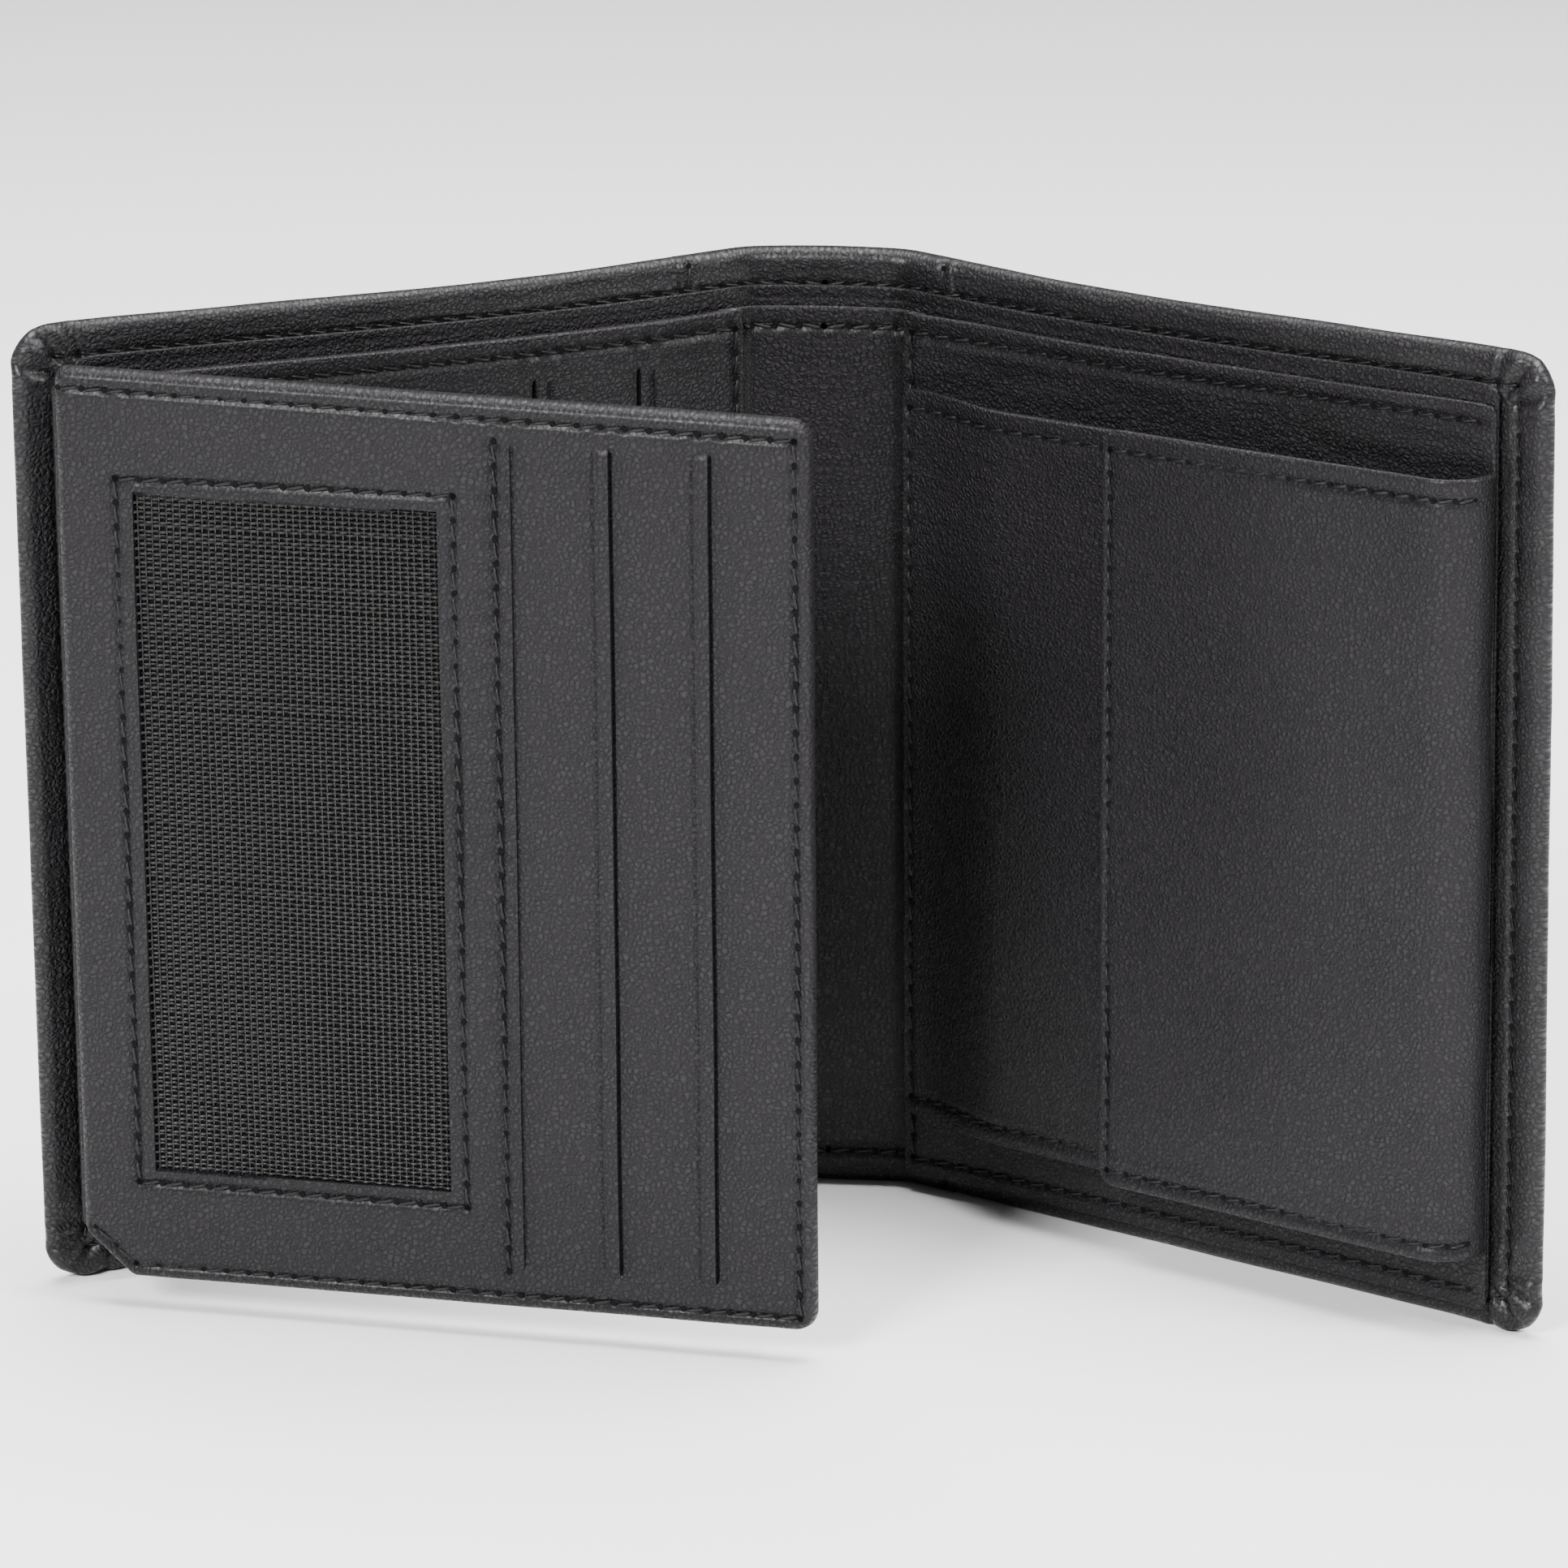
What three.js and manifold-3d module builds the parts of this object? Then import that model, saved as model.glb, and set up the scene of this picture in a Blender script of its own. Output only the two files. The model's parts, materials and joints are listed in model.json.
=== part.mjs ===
// A leather trifold wallet, standing half open on its lower edges.
// Millimetres, +Z up. The inside of the wallet faces -Y, the spine runs along X.
// The origin is the bottom centre of the whole wallet's bounding box.
import * as THREE from "three";
import { mergeVertices } from "three/addons/utils/BufferGeometryUtils.js";
import Module from "manifold-3d";

const wasm = await Module();
wasm.setup();

// ---- Covers and spine ----
const HEIGHT = 120;
const PANEL_WIDTH = 93.6; // fold line to outer edge, on the outside
const SPINE_WIDTH = 21.5; // between the two fold lines, on the outside
const FOLD_REST = 30.5; // degrees of bend at each fold line as the wallet stands
const FOLD_MOST = 95.7; // degrees of bend at the tighter fold when the wallet is shut
const FOLD_DEPTH = 3; // fold axis, below the outer surface
const COVER_CORNER = 4.5;
const HEM_WIDTH = 6; // leather turned over the lining, along every free edge
const HEM_WALL = 1.2; // leather left outside the lining at the turned edge

// ---- Leather and lining thicknesses ----
const COVER_LEATHER = 0.9;
const HEM_LEATHER = 0.5;
const INNER_LEATHER = 0.7;
const COVER_BOARD = 0.4;
const LINING = 0.28;
const DIVIDER = 0.5; // two thin leathers glued back to back
const LAY_GAP = 0.25; // between pieces that lie on one another
const FOLD_GAP = 0.25; // between pieces either side of a fold

// ---- Heights of the inner pieces ----
const DIVIDER_DROP = 4; // below the cover's top edge
const INNER_DROP = 6.3;
const INNER_LIFT = 2.5; // above the cover's bottom edge
const EDGE_INSET = 3.4; // inner panels end this far inside the outer edge

// ---- Left card panel ----
const LEFT_SLITS = [16.2, 30]; // from the fold line
const CARD_WIDTH = 54;
const CARD_PLAY = 1.5;
const SLIT_WIDTH = 0.8;
const SLIT_MARGIN = 5.8; // leather above and below a card slit
const PLY_TUCK = 4; // a pocket ply starts this far before its slit

// ---- Flap ----
const HINGE_INSET = 1.7; // flap axis, inside the cover's outer edge
const HINGE_DEPTH = 9.3; // flap axis, below the cover's outer surface
const HINGE_WELT = 0.7; // radius of the rolled leather that the flap turns on
const HINGE_BASE = 1.2; // thickness of the leather wall that carries it
const FLAP_REST = 37.7; // degrees between flap and card panel
const FLAP_START = 2.5; // soft leather between the axis and the flap's stiff plies
const FLAP_TIP_GAP = 0.95; // free edge, short of the inner layers at the spine fold
const FLAP_DROP = 4.3; // below the cover's top edge
const FLAP_LIFT = 3.9;
const FLAP_CORNER = 2.6;
const FLAP_CUT = [7, 6.2]; // the slanted lower corner at the hinge, along and up
const FLAP_RIM = 1;
const FLAP_PLY = 0.25;
const WINDOW_START = 9.35; // from the flap's axis
const WINDOW_WIDTH = 36.9;
const WINDOW_MARGIN = [13.4, 13.8]; // leather below and above the window
const WINDOW_OVERLAP = 4; // mesh sewn under the window's edge
const FLAP_SLIT_COUNT = 3;
const FLAP_SLIT_PLAY = 1.9; // first slit, past one card width from the axis
const FLAP_SLIT_PITCH = 11.9;

// ---- Coin pocket and its lid ----
const COIN_START = 6; // from the fold line
const COIN_MOUTH_GAP = 8.2; // pocket's mouth, short of the lid's axis
const COIN_LIFT = 10.7;
const COIN_DROP = 15.1; // below the cover's top edge
const COIN_ROOM = 2.8; // height of the gusset
const COIN_BACK = 0.5;
const GUSSET_WALL = 1;
const LID_START = 36.6; // free edge, from the fold line
const LID_OVERHANG = 0.8; // past the pocket at top and bottom
const LID_CORNER = 2.6;
const LID_AXIS_INSET = 3.4; // lid axis, inside the cover's outer edge
const LID_START_GAP = 1.6; // soft leather between the lid's axis and its stiff plies
const LID_LEATHER = 0.8;
const LID_BOARD = 0.35;
const LID_SEAT = 0.5; // between the pocket's front and the lid's lining
const SIDE_WALL = 0.8;
const STUD_FROM_EDGE = 7; // stud centre, inside the lid's free edge
const STUD_RADIUS = 2;
const STUD_FLANGE = 4;
const STUD_PLATE = 0.2;
const SOCKET_CLEARANCE = 0.4;
const SOCKET_WALL = 1.6;

// ---- Depths below the outer surface, each from the layer before it ----
const coverGroove = COVER_LEATHER + 3 * LAY_GAP + COVER_BOARD + LINING;
const coverDepth = coverGroove + HEM_LEATHER;
const spineGroove = COVER_LEATHER + 2 * LAY_GAP + LINING;
const spineHemDepth = spineGroove + HEM_LEATHER;
const boardDepth = COVER_LEATHER + LAY_GAP;
const liningDepth = boardDepth + COVER_BOARD + LAY_GAP;
const dividerDepth = coverDepth + LAY_GAP;
const innerDepth = dividerDepth + DIVIDER + LAY_GAP;
const spineDividerDepth = spineHemDepth + LAY_GAP;
const spineStripDepth = spineDividerDepth + DIVIDER + LAY_GAP;
const spineDepth = spineStripDepth + INNER_LEATHER;
const plyStep = FLAP_PLY + LAY_GAP;
const cardPlyDepths = [1, 2].map((step) => innerDepth + step * plyStep);
const cardPanelDepth = innerDepth + 3 * plyStep;
const cardPanelFace = cardPanelDepth + INNER_LEATHER;
const coinBackDepth = innerDepth + INNER_LEATHER + LAY_GAP;
const gussetDepth = coinBackDepth + COIN_BACK + LAY_GAP;
const coinFrontDepth = gussetDepth + COIN_ROOM + LAY_GAP;
const coinFace = coinFrontDepth + INNER_LEATHER;
const lidLiningDepth = coinFace + LID_SEAT;
const lidBoardDepth = lidLiningDepth + LINING + LAY_GAP;
const lidLeatherDepth = lidBoardDepth + LID_BOARD + LAY_GAP;
const lidFace = lidLeatherDepth + LID_LEATHER;

const degrees = THREE.MathUtils.degToRad;
const foldAxisInset = FOLD_DEPTH * Math.tan(degrees(FOLD_REST / 2));
const innerTop = HEIGHT - INNER_DROP;
const innerEnd = PANEL_WIDTH - EDGE_INSET;
const hingeAt = PANEL_WIDTH - HINGE_INSET;
const lidAxisAt = PANEL_WIDTH - LID_AXIS_INSET;
const lidAxisDepth = (lidLiningDepth + lidFace) / 2;
const coinMouth = lidAxisAt - COIN_MOUTH_GAP;
const coinHigh = HEIGHT - COIN_DROP;
const flapHigh = HEIGHT - FLAP_DROP;
const flapSlits = Array.from(
  { length: FLAP_SLIT_COUNT },
  (_, index) => CARD_WIDTH + FLAP_SLIT_PLAY + index * FLAP_SLIT_PITCH,
);

// Where a layer may start beside a fold, so that the fold can shut and lie flat.
function foldStart(depth) {
  const past = Math.max(0, Math.min(depth, spineDepth) - FOLD_DEPTH);
  return foldAxisInset + FOLD_GAP + past * Math.tan(degrees(FOLD_MOST / 2));
}

const flapEnd = hingeAt - foldStart(spineDepth) - FLAP_TIP_GAP;

// ---- Shapes: x along the panel, y of the outline up, extruded into the wallet ----
function outline(x0, x1, z0, z1, radii = [0, 0, 0, 0]) {
  const [topLeft, topRight, lowRight, lowLeft] = radii;
  const shape = new THREE.Shape();
  shape.moveTo(x0 + lowLeft, z0);
  shape.lineTo(x1 - lowRight, z0);
  if (lowRight) shape.absarc(x1 - lowRight, z0 + lowRight, lowRight, -Math.PI / 2, 0);
  shape.lineTo(x1, z1 - topRight);
  if (topRight) shape.absarc(x1 - topRight, z1 - topRight, topRight, 0, Math.PI / 2);
  shape.lineTo(x0 + topLeft, z1);
  if (topLeft) shape.absarc(x0 + topLeft, z1 - topLeft, topLeft, Math.PI / 2, Math.PI);
  shape.lineTo(x0, z0 + lowLeft);
  if (lowLeft) shape.absarc(x0 + lowLeft, z0 + lowLeft, lowLeft, Math.PI, 1.5 * Math.PI);
  return shape;
}

function layer(shape, depth, thickness) {
  const settings = { depth: thickness, bevelEnabled: false, curveSegments: 6 };
  const geometry = new THREE.ExtrudeGeometry(shape, settings);
  geometry.rotateX(Math.PI / 2);
  geometry.translate(0, -depth, 0);
  return geometry;
}

function solidOf(geometry) {
  const bare = geometry.clone();
  bare.deleteAttribute("normal");
  bare.deleteAttribute("uv");
  const merged = mergeVertices(bare, 1e-4);
  const vertProperties = merged.attributes.position.array;
  const triVerts = new Uint32Array(merged.index.array);
  return new wasm.Manifold(new wasm.Mesh({ numProp: 3, vertProperties, triVerts }));
}

function geometryOf(solid) {
  const mesh = solid.getMesh();
  const geometry = new THREE.BufferGeometry();
  const positions = new THREE.BufferAttribute(new Float32Array(mesh.vertProperties), 3);
  geometry.setAttribute("position", positions);
  geometry.setIndex(new THREE.BufferAttribute(new Uint32Array(mesh.triVerts), 1));
  geometry.computeVertexNormals();
  return geometry;
}

function cut(geometry, ...tools) {
  return geometryOf(tools.reduce((solid, tool) => solid.subtract(solidOf(tool)), solidOf(geometry)));
}

// ---- Finishes ----
const LEATHER = { color: 0x242224, roughness: 0.55, metalness: 0 };
const LINING_CLOTH = { color: 0x1b1b1d, roughness: 0.9, metalness: 0 };
const BOARD = { color: 0x4a4038, roughness: 0.95, metalness: 0 };
const MESH = { color: 0x0f0f10, roughness: 0.7, metalness: 0 };
const STEEL = { color: 0x8d8f92, roughness: 0.35, metalness: 1 };

function add(group, name, geometry, finish) {
  const mesh = new THREE.Mesh(geometry, new THREE.MeshStandardMaterial(finish));
  mesh.name = name;
  group.add(mesh);
}

// ---- The spine, between the two folds ----
function buildSpine(group) {
  const across = (depth) => SPINE_WIDTH / 2 - foldStart(depth);
  const end = across(spineHemDepth);
  const blank = layer(outline(-end, end, 0, HEIGHT), 0, spineHemDepth);
  const inside = outline(-SPINE_WIDTH, SPINE_WIDTH, HEM_WIDTH, HEIGHT - HEM_WIDTH);
  const groove = outline(-SPINE_WIDTH, SPINE_WIDTH, HEM_WALL, HEIGHT - HEM_WALL);
  const cover = cut(
    blank,
    layer(inside, COVER_LEATHER, HEIGHT),
    layer(groove, COVER_LEATHER, spineGroove - COVER_LEATHER),
  );
  add(group, "spine_cover", cover, LEATHER);

  const edge = HEM_WALL + LAY_GAP;
  const lining = outline(-end, end, edge, HEIGHT - edge);
  add(group, "spine_lining", layer(lining, boardDepth, LINING), LINING_CLOTH);

  const dividerEnd = across(spineDividerDepth + DIVIDER);
  const divider = outline(-dividerEnd, dividerEnd, INNER_LIFT, HEIGHT - DIVIDER_DROP);
  add(group, "spine_note_divider", layer(divider, spineDividerDepth, DIVIDER), LEATHER);

  const stripEnd = across(spineDepth);
  const strip = outline(-stripEnd, stripEnd, INNER_LIFT, innerTop);
  add(group, "spine_inner_strip", layer(strip, spineStripDepth, INNER_LEATHER), LEATHER);
}

// ---- What both halves share; side is -1 for the left half and 1 for the right ----
// s is the distance outward from the fold line.
function span(side, s0, s1) {
  return side < 0 ? [-s1, -s0] : [s0, s1];
}

function halfOutline(side, s0, s1, z0, z1, radius = 0) {
  const radii = side < 0 ? [radius, 0, 0, radius] : [0, radius, radius, 0];
  return outline(...span(side, s0, s1), z0, z1, radii);
}

function buildCover(group, side, name) {
  const start = foldStart(coverDepth);
  const blank = halfOutline(side, start, PANEL_WIDTH, 0, HEIGHT, COVER_CORNER);
  const insideEnd = PANEL_WIDTH - HEM_WIDTH;
  const inside = halfOutline(side, -1, insideEnd, HEM_WIDTH, HEIGHT - HEM_WIDTH);
  const grooveEnd = PANEL_WIDTH - HEM_WALL;
  const grooveCorner = COVER_CORNER - HEM_WALL;
  const groove = halfOutline(side, -1, grooveEnd, HEM_WALL, HEIGHT - HEM_WALL, grooveCorner);
  const cover = cut(
    layer(blank, 0, coverDepth),
    layer(inside, COVER_LEATHER, HEIGHT),
    layer(groove, COVER_LEATHER, coverGroove - COVER_LEATHER),
  );
  add(group, name + "_cover_leather", cover, LEATHER);

  const edge = HEM_WALL + LAY_GAP;
  const corner = COVER_CORNER - edge;
  const sheet = halfOutline(side, start, PANEL_WIDTH - edge, edge, HEIGHT - edge, corner);
  add(group, name + "_cover_board", layer(sheet, boardDepth, COVER_BOARD), BOARD);
  add(group, name + "_note_lining", layer(sheet, liningDepth, LINING), LINING_CLOTH);

  const dividerStart = foldStart(dividerDepth + DIVIDER);
  const top = HEIGHT - DIVIDER_DROP;
  const divider = halfOutline(side, dividerStart, innerEnd, INNER_LIFT, top);
  add(group, name + "_note_divider", layer(divider, dividerDepth, DIVIDER), LEATHER);
}

// ---- Left half: card panel with two slits, and the wall that carries the flap ----
function buildCardPanel(group) {
  const start = foldStart(spineDepth);
  const backing = halfOutline(-1, start, innerEnd, INNER_LIFT, innerTop);
  add(group, "left_panel_backing", layer(backing, innerDepth, FLAP_PLY), LINING_CLOTH);

  const low = INNER_LIFT + SLIT_MARGIN;
  const high = innerTop - SLIT_MARGIN;
  LEFT_SLITS.forEach((slit, index) => {
    const plyEnd = Math.min(slit + CARD_WIDTH + CARD_PLAY, innerEnd);
    const ply = halfOutline(-1, slit - PLY_TUCK, plyEnd, low - CARD_PLAY, high + CARD_PLAY);
    const name = "left_card_ply_" + (index + 1);
    add(group, name, layer(ply, cardPlyDepths[index], FLAP_PLY), LINING_CLOTH);
  });

  const panel = halfOutline(-1, start, innerEnd, INNER_LIFT, innerTop);
  const slits = LEFT_SLITS.map((slit) => halfOutline(-1, slit, slit + SLIT_WIDTH, low, high));
  const slitTools = slits.map((slit) => layer(slit, 0, 2 * cardPanelFace));
  const slitPanel = cut(layer(panel, cardPanelDepth, INNER_LEATHER), ...slitTools);
  add(group, "left_card_panel", slitPanel, LEATHER);

  const base = cardPanelFace + LAY_GAP;
  const tall = HINGE_DEPTH - HINGE_WELT - LAY_GAP - base;
  const bottom = FLAP_LIFT + FLAP_CUT[1];
  const wallEnd = Math.min(innerEnd, hingeAt - HINGE_WELT);
  const wall = halfOutline(-1, wallEnd - HINGE_BASE, wallEnd, bottom, innerTop);
  add(group, "flap_hinge_base", layer(wall, base, tall), LEATHER);
}

// ---- The flap: x runs from its axis to the free edge ----
function flapOutline(start, end, inset, radius) {
  const low = FLAP_LIFT + inset;
  const high = flapHigh - inset;
  const [along, up] = FLAP_CUT;
  const slope = up / (along - FLAP_START);
  const shift = inset * (Math.hypot(1, slope) - slope);
  const shape = new THREE.Shape();
  shape.moveTo(start, low + slope * (along - start) - inset + shift);
  shape.lineTo(start, high);
  shape.lineTo(end - radius, high);
  shape.absarc(end - radius, high - radius, radius, Math.PI / 2, 0, true);
  shape.absarc(end - radius, low + radius, radius, 0, -Math.PI / 2, true);
  shape.lineTo(along + shift / slope, low);
  shape.closePath();
  return shape;
}

function buildFlapFront(group, depth) {
  const face = flapOutline(FLAP_START, flapEnd, 0, FLAP_CORNER);
  const inner = flapOutline(0, flapEnd - FLAP_RIM, FLAP_RIM, FLAP_CORNER - FLAP_RIM);
  const back = INNER_LEATHER + LAY_GAP;
  const low = FLAP_LIFT + WINDOW_MARGIN[0];
  const high = flapHigh - WINDOW_MARGIN[1];
  const windowEnd = WINDOW_START + WINDOW_WIDTH;
  const slitLow = FLAP_LIFT + SLIT_MARGIN;
  const slitHigh = flapHigh - SLIT_MARGIN;
  const through = 2 * depth;
  const front = cut(
    layer(face, back, depth + LID_LEATHER - back),
    layer(inner, 0, depth),
    layer(outline(WINDOW_START, windowEnd, low, high), 0, through),
    ...flapSlits.map((slit) => layer(outline(slit, slit + SLIT_WIDTH, slitLow, slitHigh), 0, through)),
  );
  add(group, "flap_front_leather", front, LEATHER);
}

function buildFlap(group) {
  const back = flapOutline(FLAP_START, flapEnd, 0, FLAP_CORNER);
  add(group, "flap_back_leather", layer(back, 0, INNER_LEATHER), LEATHER);

  const levels = [0, 1, 2, 3, 4].map((step) => INNER_LEATHER + LAY_GAP + step * plyStep);
  const low = FLAP_LIFT + FLAP_CUT[1] + FLAP_RIM;
  const high = flapHigh - FLAP_RIM - LAY_GAP - CARD_PLAY;
  const names = ["flap_id_ply", "flap_card_ply_1", "flap_card_ply_2"];
  names.forEach((name, index) => {
    const slit = flapSlits[index];
    const plyStart = Math.max(FLAP_START + LAY_GAP, slit - CARD_WIDTH - CARD_PLAY);
    const ply = outline(plyStart, slit + PLY_TUCK, low, high);
    add(group, name, layer(ply, levels[2 - index], FLAP_PLY), LINING_CLOTH);
  });

  const meshStart = WINDOW_START - WINDOW_OVERLAP;
  const meshEnd = WINDOW_START + WINDOW_WIDTH + WINDOW_OVERLAP;
  const meshLow = FLAP_LIFT + WINDOW_MARGIN[0] - WINDOW_OVERLAP;
  const meshHigh = flapHigh - WINDOW_MARGIN[1] + WINDOW_OVERLAP;
  const mesh = outline(meshStart, meshEnd, meshLow, meshHigh);
  add(group, "flap_window_mesh", layer(mesh, levels[3], FLAP_PLY), MESH);

  buildFlapFront(group, levels[4]);
}

function buildHingeWelt(group) {
  const length = innerTop - FLAP_LIFT - FLAP_CUT[1];
  const welt = new THREE.CylinderGeometry(HINGE_WELT, HINGE_WELT, length, 16);
  welt.rotateX(Math.PI / 2);
  welt.translate(0, 0, FLAP_LIFT + FLAP_CUT[1] + length / 2);
  add(group, "flap_hinge_welt", welt, LEATHER);
}

// ---- Right half: inner panel and coin pocket ----
function buildCoinPocket(group) {
  const start = foldStart(spineDepth);
  const panel = outline(start, innerEnd, INNER_LIFT, innerTop);
  add(group, "right_inner_panel", layer(panel, innerDepth, INNER_LEATHER), LEATHER);

  const low = COIN_LIFT;
  const high = coinHigh;
  const back = outline(COIN_START, coinMouth, low, high);
  add(group, "coin_pocket_back", layer(back, coinBackDepth, COIN_BACK), LINING_CLOTH);

  const wall = GUSSET_WALL;
  const gusset = cut(
    layer(outline(COIN_START, coinMouth, low, high), gussetDepth, COIN_ROOM),
    layer(outline(COIN_START + wall, coinMouth + wall, low + wall, high - wall), 0, HEIGHT),
  );
  add(group, "coin_pocket_gusset", gusset, LEATHER);

  const front = outline(COIN_START, coinMouth, low, high, [1, 0, 0, 1]);
  add(group, "coin_pocket_front", layer(front, coinFrontDepth, INNER_LEATHER), LEATHER);

  const sideHigh = lidAxisDepth - SIDE_WALL - coinBackDepth;
  const sideWall = outline(lidAxisAt - SIDE_WALL, lidAxisAt, low + wall, high - wall);
  add(group, "coin_lid_side", layer(sideWall, coinBackDepth, sideHigh), LEATHER);
}

// ---- Press stud, hidden under the lid ----
function disc(radius, depth, thickness) {
  const geometry = new THREE.CylinderGeometry(radius, radius, thickness, 24);
  geometry.translate(LID_START + STUD_FROM_EDGE, -depth - thickness / 2, studHeight);
  return geometry;
}

const studHeight = (COIN_LIFT + coinHigh) / 2;
const studFoot = coinFace + (LID_SEAT - STUD_PLATE) / 2;
const socketBore = STUD_RADIUS + SOCKET_CLEARANCE;
const socketRadius = socketBore + SOCKET_WALL;
const socketHole = socketRadius + LAY_GAP;

function buildStud(group) {
  const flange = solidOf(disc(STUD_FLANGE, studFoot, STUD_PLATE));
  const post = solidOf(disc(STUD_RADIUS, studFoot, lidBoardDepth - studFoot));
  add(group, "snap_stud", geometryOf(flange.add(post)), STEEL);
}

// ---- The lid, hinged along the pocket's outer side ----
function buildLid(group) {
  const low = COIN_LIFT - LID_OVERHANG;
  const high = coinHigh + LID_OVERHANG;
  const end = lidAxisAt - LID_START_GAP;
  const round = [LID_CORNER, 0, 0, LID_CORNER];
  const face = outline(LID_START, end, low, high, round);
  const tuck = LAY_GAP + LID_LEATHER;
  const inner = outline(LID_START + tuck, end, low + tuck, high - tuck);
  const openTo = end + tuck;
  const room = outline(LID_START + LID_LEATHER, openTo, low + LID_LEATHER, high - LID_LEATHER);
  const leather = cut(
    layer(face, lidLiningDepth, lidFace - lidLiningDepth),
    layer(room, 0, lidLeatherDepth),
  );
  add(group, "coin_lid_leather", leather, LEATHER);
  const socketWell = disc(socketHole, 0, lidLeatherDepth);
  const lining = cut(layer(inner, lidLiningDepth, LINING), socketWell);
  add(group, "coin_lid_lining", lining, LINING_CLOTH);
  const board = cut(layer(inner, lidBoardDepth, LID_BOARD), socketWell);
  add(group, "coin_lid_board", board, BOARD);

  const socketTop = lidLeatherDepth - LAY_GAP;
  const ring = disc(socketRadius, lidLiningDepth, socketTop - lidLiningDepth);
  const bore = disc(socketBore, 0, lidBoardDepth + LAY_GAP);
  add(group, "snap_socket", cut(ring, bore), STEEL);
}

// ---- Assembly ----
const wallet = new THREE.Group();
const spine = new THREE.Group();
const left = new THREE.Group();
const right = new THREE.Group();
const flap = new THREE.Group();
left.position.x = -SPINE_WIDTH / 2;
left.rotation.z = degrees(FOLD_REST);
right.position.x = SPINE_WIDTH / 2;
right.rotation.z = -degrees(FOLD_REST);
flap.position.set(-hingeAt, -HINGE_DEPTH, 0);
flap.rotation.z = -degrees(FLAP_REST);
wallet.add(spine, left, right);
left.add(flap);

buildSpine(spine);
buildCover(left, -1, "left");
buildCardPanel(left);
buildHingeWelt(flap);
buildFlap(flap);
buildCover(right, 1, "right");
buildCoinPocket(right);
buildStud(right);
buildLid(right);

wallet.updateMatrixWorld(true);
const bounds = new THREE.Box3().setFromObject(wallet, true);
const centre = bounds.getCenter(new THREE.Vector3());
wallet.position.set(-centre.x, -centre.y, -bounds.min.z);

export default wallet;
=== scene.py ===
# %% Load the frame
import json
import math
import bmesh
import bpy
import numpy as np
from mathutils import Matrix, Vector


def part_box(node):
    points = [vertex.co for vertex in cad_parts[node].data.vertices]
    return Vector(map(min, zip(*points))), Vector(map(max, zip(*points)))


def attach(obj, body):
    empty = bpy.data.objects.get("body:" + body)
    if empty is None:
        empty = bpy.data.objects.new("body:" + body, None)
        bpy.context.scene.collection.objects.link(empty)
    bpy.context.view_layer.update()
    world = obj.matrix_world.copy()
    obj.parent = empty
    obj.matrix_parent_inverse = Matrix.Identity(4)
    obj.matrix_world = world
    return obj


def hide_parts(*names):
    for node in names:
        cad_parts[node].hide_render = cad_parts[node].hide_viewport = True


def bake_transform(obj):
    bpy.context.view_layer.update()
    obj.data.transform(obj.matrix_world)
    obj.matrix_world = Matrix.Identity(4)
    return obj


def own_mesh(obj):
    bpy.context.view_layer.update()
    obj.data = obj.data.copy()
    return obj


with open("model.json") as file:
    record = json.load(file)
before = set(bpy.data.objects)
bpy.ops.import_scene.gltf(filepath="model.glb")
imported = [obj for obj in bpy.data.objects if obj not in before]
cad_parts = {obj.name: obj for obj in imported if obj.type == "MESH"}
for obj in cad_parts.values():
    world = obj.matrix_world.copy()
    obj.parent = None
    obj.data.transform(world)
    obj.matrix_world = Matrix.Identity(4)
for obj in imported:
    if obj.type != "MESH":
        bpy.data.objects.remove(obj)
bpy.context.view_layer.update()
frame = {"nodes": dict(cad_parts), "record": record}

# %% [markdown]
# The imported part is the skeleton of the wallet: flat plies with open gaps where leather bends.
# Everything below dresses it in leather, thread and cloth. All shape numbers are in millimetres,
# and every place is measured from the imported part, so that the dress fits the skeleton.

# %% Where the covers, the spine and the flap lie
MM = 0.001
BEND_RADIUS = 8.0  # of the outer leather round each fold
JOINTS = {joint["name"]: joint for joint in frame["record"]["behaviour"]["joints"]}
MOUNTS = {mount["name"]: mount for mount in frame["record"]["mounts"]}
QUICK = 1.0


def vertices_of(node):
    """The corner points of a CAD node, in millimetres."""
    return np.array([vertex.co[:] for vertex in frame["nodes"][node].data.vertices]) / MM


def unit(vector):
    return vector / np.linalg.norm(vector)


SPINE_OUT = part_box("spine_cover")[1].y / MM
outward = np.array(MOUNTS["right_cover_face"]["axis"][:2])
right_face = np.array(MOUNTS["right_cover_face"]["pos_m"][:2]) / MM
along = unit(np.array([outward[1], -outward[0]]))
fold_line = right_face + along * (SPINE_OUT - right_face[1]) / along[1]
SPINE_HALF = fold_line[0]
BEND = math.atan2(outward[0], outward[1])
TANGENT = BEND_RADIUS * math.tan(BEND / 2)
ARC = BEND_RADIUS * BEND
MIDDLE = 2 * TANGENT - ARC - SPINE_HALF  # the spine's centre line, as a distance from the fold


CURL_FROM, CURL_OVER = 80.0, 13.6  # the covers' outer edges turn inward and lie a little further out
CURL = {-1: 1.3, 1: 1.5}
SPREAD = {-1: 1.8, 1: 0.8}
FLARE = 1.5  # the right cover's lower outer corner spreads
ARCH, ARCH_WIDTH = 2.0, 28.0  # the top edges rise towards the spine


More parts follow.
